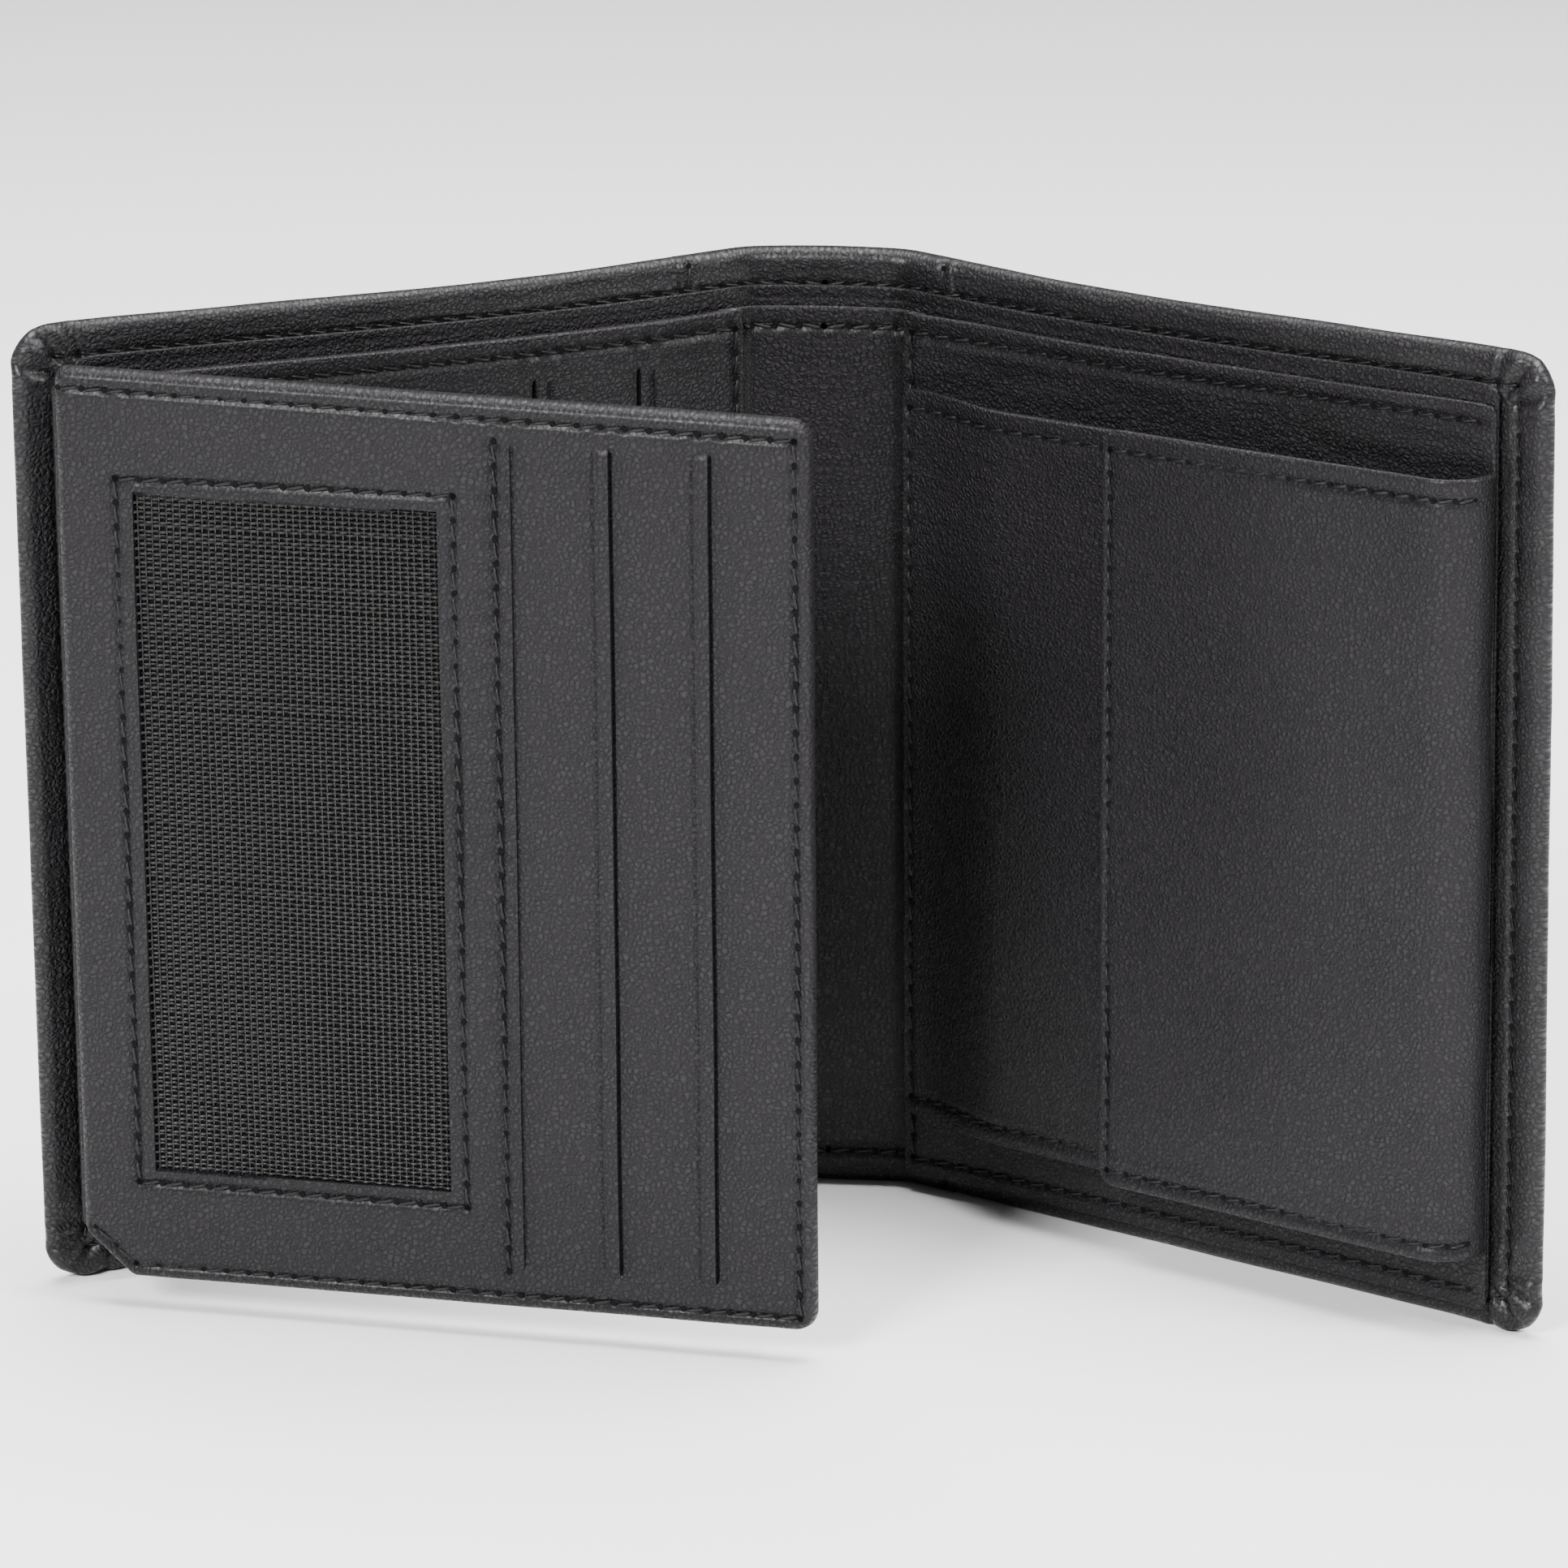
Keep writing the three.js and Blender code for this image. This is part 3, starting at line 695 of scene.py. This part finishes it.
def build_note_pocket(name, side, place, body):
    (_, end), (low, high), _ = span(name + "_note_lining", side)
    tuck = HEM - 1.5
    us = lines(MIDDLE, end - tuck, (JOIN, 0.1), 2.0)
    vs = lines(low + tuck, high - tuck, (0.1, 0.1), 4.0)
    depths = (LINING_DEPTH + 0.22, LINING_DEPTH + 0.03)
    lining = slab(name + "_note_lining_cloth", place, us, vs, *depths, (JOIN, 0.1, 0.1, 0.1))
    replaced = [name + "_note_lining"] + (["spine_lining"] if side < 0 else [])
    keep(lining, body, LINING, True, replaced)

    (_, end), (low, high), (near, far) = span(name + "_note_divider", side)
    end -= LAYERS_IN
    ripple = waves(20, 26, 0.07)
    us = lines(MIDDLE, end, (JOIN, DIVIDER_EDGE), 1.6)
    vs = lines(low, high, (DIVIDER_EDGE, DIVIDER_EDGE), 1.8, (high - 1.4,))

    def front(U, V):
        return far + 0.12 + ripple(U, V) - 0.12 * np.exp(-(((V - high + 1.4) / 0.3) ** 2))

    def back(U, V):
        return near + ripple(U, V)

    rims = (JOIN, DIVIDER_EDGE, DIVIDER_EDGE, DIVIDER_EDGE)
    divider = slab(name + "_divider", place, us, vs, front, back, rims, (0, 1.5, 0, 1.5))
    replaced = [name + "_note_divider"] + (["spine_note_divider"] if side < 0 else [])
    keep(divider, body, INNER, True, replaced)
    seam = [[(9.5, high - 0.8), (7.6, high - 6.0)]]
    thread = threads(name + "_divider_thread", place, seam, far + 0.12, 1)
    keep(thread, body, THREAD_BLACK, True)


for name, side, place, body in HALVES:
    build_note_pocket(name, side, place, body)
    made(name + "_note_lining_cloth", name + "_divider")

# %% [markdown]
# The inner face. A plain strip lines the spine and tucks under both inner panels, whose own
# edges are turned and sewn down beside the folds. The strip carries a row of stitches along
# its top edge, and the panels go on with the same row.

# %% Spine strip and inner panels
PANEL_ROW = 2.3
PANEL_EDGE = 0.35
STRIP_TUCK = 5.0
LEFT_PANEL_FROM = 1.7
RIGHT_PANEL_FROM = 2.0
SEAM_ROW = 1.3
SETTLE = (9, 12)  # where the panels come down from the tucked strip, and over what width


def build_strip(name, side, place, body):
    _, _, (_, divider_face) = span(name + "_note_divider", side)
    low, high = (corner.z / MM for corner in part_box("spine_inner_strip"))
    near = divider_face + 0.3
    far = near + 0.7
    rows = [[(MIDDLE, v), (LEFT_PANEL_FROM, v)] for v in (high - PANEL_ROW, low + PANEL_ROW)]
    sewn = pulled(rows)
    us = lines(MIDDLE, STRIP_TUCK, (JOIN, PANEL_EDGE), 0.8)
    vs = lines(low, high, (PANEL_EDGE, PANEL_EDGE), 1.2, (high - PANEL_ROW, low + PANEL_ROW))
    ripple = waves(30, 30, 0.08)
    rims = (JOIN, PANEL_EDGE, PANEL_EDGE, PANEL_EDGE)

    def front(U, V):
        return far + sewn(U, V) + ripple(U, V)

    strip = slab(name + "_spine_strip", place, us, vs, front, near, rims)
    keep(strip, body, INNER, True, ["spine_inner_strip"] if side < 0 else ())
    keep(threads(name + "_spine_thread", place, rows, far, 1), body, THREAD_BLACK, True)
    return far


strip_depths = [build_strip(*each) for each in HALVES]
made("left_spine_strip", "right_spine_strip")

# %% [markdown]
# The left inner panel holds two card pockets under slits. Each slit has a pressed lip: the
# leather is creased 2 mm before the cut edge, so the lip stands a little proud. A slit could be
# cut through the sheet, but a narrow groove with doubled grid lines keeps the sheet closed.

# %% Left card panel
LIP = 2.0
LIP_RISE = 0.3
SLIT_DROP = 0.7
SLIT_OPEN = 0.36
SLIT_MARGIN = 5.8  # leather above and below a slit


def slit_relief(cuts, low, high, lip=LIP_RISE, drop=SLIT_DROP):
    """The relief of card slits: crease, raised lip, drop, and the leather that goes on."""

    def relief(U, V):
        total = np.zeros(U.shape)
        within = step_up(V, low, 1.0) * (1 - step_up(V, high, 1.0))
        for cut in cuts:
            run = U - cut
            swell = np.sin(np.clip((run + LIP) / LIP, 0, 1) * 2.2) * lip
            raised = np.where((run > -LIP) & (run <= 0), swell, 0)
            crease = -0.5 * lip * np.exp(-(((run + LIP) / 0.22) ** 2))
            gap = np.where((run > 0) & (run <= SLIT_OPEN), -drop, 0)
            after = np.where(run > SLIT_OPEN, -0.28 * np.exp(-(run - SLIT_OPEN) / 2.2), 0)
            total += within * (raised + crease + gap + after)
        return total

    return relief


def slit_lines(cuts):
    """Extra grid lines for slits: where to crowd them and where to double them."""
    near = [cut + shift for cut in cuts for shift in (-LIP, -LIP / 2, SLIT_OPEN + 0.4)]
    doubled = [cut + shift for cut in cuts for shift in (0, SLIT_OPEN)]
    return near, doubled


def build_card_panel():
    (_, end), (low, high), (_, far) = span("left_card_panel", -1)
    end -= LAYERS_IN
    cards = [(span(ply, -1)[0][0] + 4.0) for ply in ("left_card_ply_1", "left_card_ply_2")]
    row_at = LEFT_PANEL_FROM + SEAM_ROW
    rows = [three_sides(end - PANEL_ROW, row_at, low + PANEL_ROW, high - PANEL_ROW)]
    sewn, ripple = pulled(rows), waves(41, 17, 0.08, 2)
    slits = slit_relief(cards, low + SLIT_MARGIN, high - SLIT_MARGIN)
    near_marks, doubled = slit_lines(cards)
    us = lines(LEFT_PANEL_FROM, end, (PANEL_EDGE, PANEL_EDGE), 1.5, [row_at] + near_marks, doubled)
    marks = (low + PANEL_ROW, high - PANEL_ROW, low + SLIT_MARGIN, high - SLIT_MARGIN)
    vs = lines(low, high, (PANEL_EDGE, PANEL_EDGE), 1.0, marks)
    base = strip_depths[0]

    def thick(U):
        return base + 0.55 + (far - base - 0.55) * step_up(U, *SETTLE)

    def front(U, V):
        return thick(U) + sewn(U, V) + ripple(U, V) + slits(U, V)

    panel = slab("left_card_panel_leather", left, us, vs, front, base + 0.02, (PANEL_EDGE,) * 4, (1, 1, 1, 1))
    hidden = ["left_card_panel", "left_panel_backing", "left_card_ply_1", "left_card_ply_2"]
    keep(panel, "left_cover", INNER, replaces=hidden)
    thread = threads("left_panel_thread", left, rows, lambda u, v: thick(u), 1)
    keep(thread, "left_cover", THREAD_BLACK)
    return far


card_face = build_card_panel()
made("left_card_panel_leather", "left_panel_thread")

# %% [markdown]
# The right inner panel is one plain leather with strong cross creases above the coin pocket,
# where the pocket's weight pulls it each time it is used.

# %% Right inner panel
def build_right_panel():
    (_, end), (low, high), (near, far) = span("right_inner_panel", 1)
    end -= LAYERS_IN
    row_at = RIGHT_PANEL_FROM + SEAM_ROW
    rows = [three_sides(end - PANEL_ROW, row_at, low + PANEL_ROW, high - PANEL_ROW)]
    sewn, ripple = pulled(rows), waves(51, 5, 0.1, 5)
    us = lines(RIGHT_PANEL_FROM, end, (PANEL_EDGE, PANEL_EDGE), 1.5, [row_at])
    vs = lines(low, high, (PANEL_EDGE, PANEL_EDGE), 0.8, (low + PANEL_ROW, high - PANEL_ROW))
    base = strip_depths[1]

    def settle(U):
        """Past the tucked strip the panel comes down to its own level."""
        return (base + 0.6) + (far - base - 0.6) * step_up(U, *SETTLE)

    def under(U, V):
        return (base + 0.03) + (near - base - 0.03) * step_up(U, *SETTLE)

    def front(U, V):
        return settle(U) + sewn(U, V) + ripple(U, V) * step_up(V, high - 10, 5)

    panel = slab("right_inner_panel_leather", right, us, vs, front, under, (PANEL_EDGE,) * 4, (1, 1, 1, 1))
    keep(panel, "right_cover", INNER, replaces=["right_inner_panel"])
    thread = threads("right_panel_thread", right, rows, lambda u, v: settle(u), 1)
    keep(thread, "right_cover", THREAD_BLACK)
    return far


right_face_depth = build_right_panel()
made("right_inner_panel_leather", "right_panel_thread")

# %% [markdown]
# The coin pocket. Its front leather is sewn flat to the panel beside the spine and stands off
# on a soft gusset elsewhere, so it rises like a ramp. The gusset is a narrow leather wall that
# caves in a little. The real pocket could be one folded blank; separate sheets keep it simple.

# %% Coin pocket
RAMP = 16.0
POCKET_ROW = 2.4
POCKET_LEATHER = 0.85
GUSSET_HALF = 0.35


def build_coin_pocket():
    (_, mouth), (low, high), (_, far) = span("coin_pocket_front", 1)
    start = RIGHT_PANEL_FROM + 0.3
    foot = right_face_depth + 0.05
    rows = [three_sides(mouth - 1, start + 1.1, high - POCKET_ROW, low + POCKET_ROW)]
    sewn, ripple = pulled(rows, 0.36), waves(61, 20, 0.1)

    def rise(U):
        return foot + 1.15 + (far - foot - 1.15) * step_up(U, start + 2 + RAMP / 2, RAMP)

    def front(U, V):
        return rise(U) + sewn(U, V) + ripple(U, V)

    def under(U, V):
        return rise(U) - POCKET_LEATHER

    us = lines(start, mouth, (0.4, 0.4), 1.2, [start + 1.1])
    vs = lines(low, high, (0.4, 0.4), 0.8, (low + POCKET_ROW, high - POCKET_ROW))
    face = slab("coin_pocket_leather", right, us, vs, front, under, (0.4,) * 4, (1.6, 1, 1.6, 1))
    keep(face, "right_cover", INNER, replaces=["coin_pocket_front"])
    thread = threads("coin_pocket_thread", right, rows, lambda u, v: rise(u), 1)
    keep(thread, "right_cover", THREAD_BLACK)
    build_gusset("top", high - 1.0, -1, start, mouth, foot, rise)
    build_gusset("low", low + 1.0, 1, start, mouth, foot, rise)
    return foot


def build_gusset(label, at, way, start, mouth, foot, rise):
    """One side wall: u along the pocket, s from its foot (0) to the front leather (1)."""

    def lie(u, s, z):
        return right(u, z, foot + s * (rise(u) - 0.8 - foot))

    def cave(U, S):
        swell = np.sin(math.pi * np.clip(S, 0, 1)) * step_up(U, start + RAMP, RAMP)
        return at + way * (GUSSET_HALF + 0.9 * swell)

    def outer(U, S):
        return cave(U, S) + GUSSET_HALF

    def inner(U, S):
        return cave(U, S) - GUSSET_HALF

    us = lines(start + 2, mouth - 0.5, (0.3, 0.3), 2.0)
    shares = lines(0, 1, (0.02, 0.02), 0.1)
    side = slab("coin_gusset_" + label, lie, us, shares, outer, inner, (0.3, 0.3, 0.02, 0.02))
    keep(side, "right_cover", INNER, replaces=["coin_pocket_gusset"] if way < 0 else ())


def build_pocket_lining(foot):
    (b0, b1), (bl, bh), _ = span("coin_pocket_back", 1)
    us, vs = lines(b0 + 2, b1, (0.1, 0.1), 4), lines(bl + 1.4, bh - 1.4, (0.1, 0.1), 4)
    back = slab("coin_pocket_lining", right, us, vs, foot + 0.28, foot + 0.06, (0.1,) * 4)
    keep(back, "right_cover", LINING, replaces=["coin_pocket_back"])
    flat = ((b1 - b0 - 2) * MM, (bh - bl - 2.8) * MM)


pocket_foot = build_coin_pocket()
build_pocket_lining(pocket_foot)
made("coin_pocket_leather", "coin_gusset_top", "coin_gusset_low", "coin_pocket_lining")

# %% [markdown]
# The lid wraps round the open side of the pocket in one soft roll, and lies over half of the
# front. Its roll is sewn to the inner panel's outer edge. Under it lie a cloth lining and the
# cap of the press stud.

# %% Coin lid
LID_ROWS = (2.6, 1.3, 2.0)  # in from the top, the free edge and the bottom
ROLL = 5.4


def lid_place(bend_at, far):
    """u follows the lid's face and its roll; w is the depth on the flat part."""
    roll_length = ROLL * math.pi / 2

    def place(u, v, w):
        turn = np.clip((u - bend_at) / ROLL, 0, math.pi / 2)
        radius = ROLL - (far - w)
        past = np.maximum(u - bend_at - roll_length, 0)
        across = np.minimum(u, bend_at) + radius * np.sin(turn)
        deep = far - ROLL + radius * np.cos(turn) - past
        return right(across, v, deep)

    return place, roll_length


def build_lid_lining(bend_at):
    (s0, _), (l0, l1), (near, _) = span("coin_lid_lining", 1)
    s1 = bend_at - 0.6
    us, vs = lines(s0, s1, (0.1, 0.1), 3.0), lines(l0, l1, (0.1, 0.1), 3.0)
    lining = slab("coin_lid_lining_cloth", right, us, vs, near + 0.25, near + 0.02, (0.1,) * 4)
    keep(lining, "coin_lid", LINING, replaces=["coin_lid_lining"])
    flat = ((s1 - s0) * MM, (l1 - l0) * MM)


def build_lid():
    (start, _), (low, high), (_, far) = span("coin_lid_leather", 1)
    bend_at = span("right_inner_panel", 1)[0][1] - LAYERS_IN + 0.3 - ROLL
    place, roll_length = lid_place(bend_at, far)
    total = bend_at + roll_length + (far - ROLL - pocket_foot) - 0.1
    top, edge, bottom = LID_ROWS
    row_end = bend_at + roll_length * 0.8
    rows = [three_sides(row_end, start + edge, high - top, low + bottom)]
    sewn, ripple = pulled(rows, 0.34), waves(71, 30, 0.12)

    def front(U, V):
        return far + sewn(U, V) + ripple(U, V)

    def under(U, V):
        return (far - 1.0) + 0.15 * step_up(U, bend_at, 8)

    us = lines(start, total, (0.7, 0.2), 1.2, [start + edge])
    vs = lines(low, high, (0.7, 0.7), 0.8, (low + bottom, high - top))
    lid = slab("coin_lid_cover", place, us, vs, front, under, (0.7, 0.2, 0.7, 0.7), (2.6, 0, 2.6, 0))
    stitches = threads("coin_lid_thread", place, rows, far, 1)
    lid.data.materials.append(FLAP)
    first = point_at(place, total - 1.0, HALF_HEIGHT, far)
    last = point_at(place, bend_at - 2.5, HALF_HEIGHT, far)
    for piece in (lid, stitches):
        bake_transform(piece)
    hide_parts("coin_lid_leather", "coin_lid_board", "coin_lid_side")
    build_lid_lining(bend_at)


def finish_stud():
    for node in ("snap_stud", "snap_socket"):
        frame["nodes"][node].data.materials.clear()
        frame["nodes"][node].data.materials.append(STEEL)


build_lid()
finish_stud()
made("coin_lid_cover", "coin_lid_thread", "coin_lid_lining_cloth")

# %% [markdown]
# The flap: two leathers sewn edge to edge round a mesh window and three card slits. The
# window is a plain recess here with a real woven net in it; the slits are cut like those of
# the left panel. Its lower corner at the hinge is cut away on a slant.

# %% The flap's leather
FLAP_END = 92.8
FLAP_FROM = 0.7
FLAP_ROW = 2.4
FLAP_CORNERS = (1.2, 2.6, 1.6, 2.6)
CUT_ALONG, CUT_UP = 7.0, 6.2
WINDOW_DROP = 1.0
SHIFT = 1.1  # window and slits, further from the hinge than in the stiff plies
SINK = (1.3, -0.9)
(_, flap_stiff_end), (flap_low, flap_high), (_, flap_face) = flap_span("flap_front_leather")
(mesh_u0, mesh_u1), (mesh_v0, mesh_v1), _ = flap_span("flap_window_mesh")
OVERLAP = 4.0
window = (mesh_u0 + OVERLAP + SHIFT, mesh_u1 - OVERLAP + 1.6 * SHIFT, mesh_v0 + OVERLAP + 1, mesh_v1 - OVERLAP)
FLAP_PLIES = ("flap_id_ply", "flap_card_ply_1", "flap_card_ply_2")
slit_cuts = [flap_span(ply)[0][1] - OVERLAP + SHIFT for ply in FLAP_PLIES]


def sink(u):
    return SINK[0] + (SINK[1] - SINK[0]) * u / FLAP_END


def slanted(U, V):
    """Lifts the lower edge on a slant beside the hinge; the top edge sinks towards the free end."""
    lift = CUT_UP * np.clip(1 - U / CUT_ALONG, 0, 1)
    share = np.clip((flap_low + 25 - V) / 25, 0, 1)
    return U, V + lift * share + sink(U) * np.clip((V - flap_low) / (flap_high - flap_low), 0, 1) ** 2


def give(*pieces):
    """Gives each piece its own copy of its mesh."""
    for piece in pieces:
        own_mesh(piece)


def build_flap():
    u0, u1, v0, v1 = window
    inner = flap_low + FLAP_ROW - 0.5, flap_high - FLAP_ROW
    free_row = FLAP_END - 1.8
    top_row = [(1.5, inner[1] + SINK[0]), (free_row, inner[1] + SINK[1])]
    edge_rows = [top_row + [(free_row, inner[0]), (CUT_ALONG + 0.5, inner[0]), (2.5, inner[0] + 4.4)]]
    left_row, right_row, low_row, high_row = u0 - 2.2, u1 + 1.9, v0 - 1.9, v1 + 2.0
    three = three_sides(left_row, right_row, low_row, high_row)
    window_rows = [three + three[:1]]
    slit_low, slit_high = flap_low + 5.6, flap_high - 5.6
    pocket_row = slit_cuts[0] - 2.0
    pocket_rows = [[(pocket_row, slit_low - 0.8), (pocket_row, slit_high + 0.6)]]
    rows = edge_rows + window_rows + pocket_rows
    sewn, back_sewn, ripple = pulled(rows, 0.4), pulled(edge_rows, 0.2), waves(81, 34, 0.13)
    slits = slit_relief(slit_cuts[1:], slit_low, slit_high)
    first = slit_relief(slit_cuts[:1], slit_low, slit_high, lip=0.05, drop=0.5)
    near_marks, doubled = slit_lines(slit_cuts)

    def front(U, V):
        inside = np.minimum.reduce([U - u0, u1 - U, V - v0, v1 - V])
        recess = np.where(inside > 0, -WINDOW_DROP, 0.10 * np.exp(inside / 0.8))
        relief = sewn(U, V) + ripple(U, V) + slits(U, V) + 0.8 * first(U, V)
        return flap_face + np.where(inside > 0, recess, recess + relief)

    def back(U, V):
        return 0.05 - back_sewn(U, V) + ripple(U, V)

    marks = [free_row, pocket_row, left_row, right_row] + near_marks
    us = lines(FLAP_FROM, FLAP_END, (1.5, 1.5), 1.1, marks, doubled + [u0, u1])
    marks = [inner[0], inner[1], low_row, high_row, slit_low, slit_high]
    vs = lines(flap_low, flap_high, (1.5, 1.5), 0.8, marks, [v0, v1])
    leather_flap = slab("flap_leather_cover", flap, us, vs, front, back, (1.5,) * 4, FLAP_CORNERS, slanted)
    hidden = ["flap_front_leather", "flap_back_leather", "flap_card_ply_1", "flap_card_ply_2"]
    keep(leather_flap, "flap", FLAP, replaces=hidden)
    sewing = threads("flap_thread", flap, rows, flap_face, 1)
    back_sewing = threads("flap_back_thread", flap, edge_rows, 0.0, -1)
    keep(sewing, "flap", THREAD_BLACK)
    keep(back_sewing, "flap", THREAD_BLACK)
    give(leather_flap, sewing, back_sewing)


build_flap()
made("flap_leather_cover", "flap_thread", "flap_back_thread")

# %% [markdown]
# The net in the window: every yarn is its own thin tube that goes over and under the yarns
# across it. A bump could fake this from afar, but real yarns catch the light one by one. Each
# tube has four sides, enough at this size, and a near-black cloth lies behind it, darker than
# the leather: its own black plus painted shade for the recess behind the net.

# %% Window mesh
YARN_PITCH_U, YARN_PITCH_V = 0.86, 0.56
YARN_THICK = (0.09, 0.15)  # of the upright and the level yarns
YARN_RISE = (0.04, 0.22)


def weave(name, size_u, size_v, u0, v0, level):
    """A plain weave of tubes over a rectangle, as one mesh."""
    dice = np.random.default_rng(5)
    points, faces = [], []
    runs = ((0, size_u, size_v, YARN_PITCH_U, YARN_PITCH_V), (1, size_v, size_u, YARN_PITCH_V, YARN_PITCH_U))
    for which, across_size, along_size, pitch, crossing in runs:
        count = int(across_size / pitch)
        steps = int(along_size / crossing * 2 / QUICK)
        for k in range(count):
            drift = dice.normal(0, 0.05)
            at = (k + 0.5) * across_size / count + drift
            run = np.linspace(0, along_size, steps)
            phase = math.pi * (k + which)
            wave = YARN_RISE[which] * np.cos(math.pi * run / crossing + phase)
            thick = YARN_THICK[which]
            sway = 0.05 * np.sin(run / 7 + k * 0.11)
            first = len(points)
            for r, w, s in zip(run, wave, sway):
                for du, dw in ((1, 0), (0, 0.8), (-1, 0), (0, -0.8)):
                    a, h = at + s + du * thick, level + w + dw * thick
                    points.append((u0 + a, v0 + r, h) if which == 0 else (u0 + r, v0 + a, h))
            faces += tube_faces(first, steps, 4)
    u, v, w = np.array(points).T
    return mesh_of(name, flap(u, v, w), faces, np.stack([u, v], -1))


def build_window():
    u0, u1, v0, v1 = window
    level = flap_face - WINDOW_DROP + 0.42
    net = weave("flap_window_net", u1 - u0, v1 - v0, u0, v0, level)
    keep(net, "flap", YARN, replaces=["flap_window_mesh"])
    us, vs = lines(u0 + 0.1, u1 - 0.1, (0.1, 0.1), 4), lines(v0 + 0.1, v1 - 0.1, (0.1, 0.1), 4)
    bed = flap_face - WINDOW_DROP
    backing = slab("flap_window_backing", flap, us, vs, bed + 0.14, bed + 0.02, (0.1,) * 4)
    # The backing's near-black is partly its own colour and partly painted shade of the recess.
    keep(backing, "flap", WINDOW_CLOTH_AND_SHADE, replaces=["flap_id_ply"])
    give(net, backing)


build_window()
made("flap_window_net", "flap_window_backing")

# %% [markdown]
# The hinge of the flap is a doubled leather sewn under the left panel's outer edge. It rises
# from the panel to the flap's own edge. A pin would look wrong here, so the leather runs from
# the cover up to the flap's strip, along a path of a few points.

# %% Flap hinge leather
HINGE_RISE = ((-5.5, 0.1), (-3.2, 0.15), (-1.4, 0.6), (-0.35, 1.6))  # from the axis, above the panel


def build_hinge():
    across, (low, high), through = span("flap_hinge_welt", -1)
    u_axis, w_axis = sum(across) / 2, sum(through) / 2
    rise = [(u_axis + out, card_face + up) for out, up in HINGE_RISE]
    path = np.array(rise + [(u_axis - 0.1, w_axis - 0.4), (u_axis + 0.1, w_axis + 0.6)])
    lengths = np.concatenate([[0], np.cumsum(np.hypot(*np.diff(path, axis=0).T))])
    steps = np.gradient(path, lengths, axis=0)
    normals = np.stack([-steps[:, 1], steps[:, 0]], -1) / np.hypot(*steps.T)[:, None]

    def place(u, v, w):
        across = np.interp(u, lengths, path[:, 0]) + w * np.interp(u, lengths, normals[:, 0])
        deep = np.interp(u, lengths, path[:, 1]) + w * np.interp(u, lengths, normals[:, 1])
        return left(across, v, deep)

    us, vs = lines(0, lengths[-1], (0.4, 0.4), 0.5), lines(low - 1, high, (0.4, 0.4), 1.6)
    strip = slab("flap_hinge_leather", place, us, vs, 0.45, -0.45, (0.4,) * 4)
    strip.data.materials.append(INNER)
    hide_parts("flap_hinge_base", "flap_hinge_welt")
    foot = point_at(place, 2.2, HALF_HEIGHT, 0.0)
    tip = point_at(place, lengths[-1], HALF_HEIGHT, 0.0)
    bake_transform(strip)


build_hinge()
made("flap_hinge_leather")

# %% [markdown]
# Floor and light. A pale floor, a soft key light from the front left, a weaker fill light from
# the right, one large light above, and a pale sky.

# %% Floor and lights
FLOOR_HALF = 6.0


def floor():
    mesh = bpy.data.meshes.new("floor")
    corners = [(x * FLOOR_HALF, y * FLOOR_HALF, 0) for x, y in ((-1, -1), (1, -1), (1, 1), (-1, 1))]
    mesh.from_pydata(corners, [], [(0, 1, 2, 3)])
    piece = bpy.data.objects.new("floor", mesh)
    bpy.context.scene.collection.objects.link(piece)
    graph = Graph("floor_white")
    piece.data.materials.append(graph.finish(Base_Color=(0.9, 0.9, 0.9), Roughness=0.9))


def area_light(name, place, target, size, power):
    light = bpy.data.lights.new(name, "AREA")
    light.shape = "RECTANGLE"
    light.size, light.size_y = size
    light.energy = power
    lamp = bpy.data.objects.new(name, light)
    lamp.location = place
    lamp.rotation_euler = (Vector(target) - Vector(place)).to_track_quat("-Z", "Y").to_euler()
    bpy.context.scene.collection.objects.link(lamp)


def sky(strength):
    world = bpy.data.worlds.new("pale_sky")
    world.use_nodes = True
    world.node_tree.nodes["Background"].inputs[0].default_value = (1, 1, 1, 1)
    world.node_tree.nodes["Background"].inputs[1].default_value = strength
    bpy.context.scene.world = world


CENTRE = (0, 0, 0.06)
floor()
sky(0.2)
area_light("key", (-0.55, -1.1, 0.85), CENTRE, (0.45, 0.45), 40)
area_light("fill", (1.0, -0.3, 0.8), CENTRE, (0.4, 0.4), 14)
area_light("top", (0.05, 0.15, 1.2), CENTRE, (1.2, 0.9), 48)

# %% [markdown]
# The camera looks a little down at the open side, from slightly to the right of the spine. Its
# three directions are worked out from three angles, which is easier to adjust than a matrix.

# %% Camera
PITCH_DOWN, ROLL_LEFT, SPIN = math.radians(15.62), math.radians(-0.42), math.radians(7.48)
LENS, SENSOR, DISTANCE = 152.46, 36.0, 0.84328
TARGET = Vector((-0.00585, 0.03399, 0.05233))
flat_share = math.cos(PITCH_DOWN)
view = Vector((-math.sin(SPIN) * flat_share, math.cos(SPIN) * flat_share, -math.sin(PITCH_DOWN)))
level = Vector((math.cos(SPIN), math.sin(SPIN), 0))
upward = level.cross(view)
right_way = math.cos(ROLL_LEFT) * level + math.sin(ROLL_LEFT) * upward
up_way = math.cos(ROLL_LEFT) * upward - math.sin(ROLL_LEFT) * level
lens = bpy.data.cameras.new("camera")
lens.lens, lens.sensor_width = LENS, SENSOR
camera = bpy.data.objects.new("camera", lens)
turn = Matrix((right_way, up_way, -view)).transposed().to_4x4()
camera.matrix_world = Matrix.Translation(TARGET - view * DISTANCE) @ turn
bpy.context.scene.collection.objects.link(camera)
bpy.context.scene.camera = camera
print("camera at", [round(value, 3) for value in camera.location])
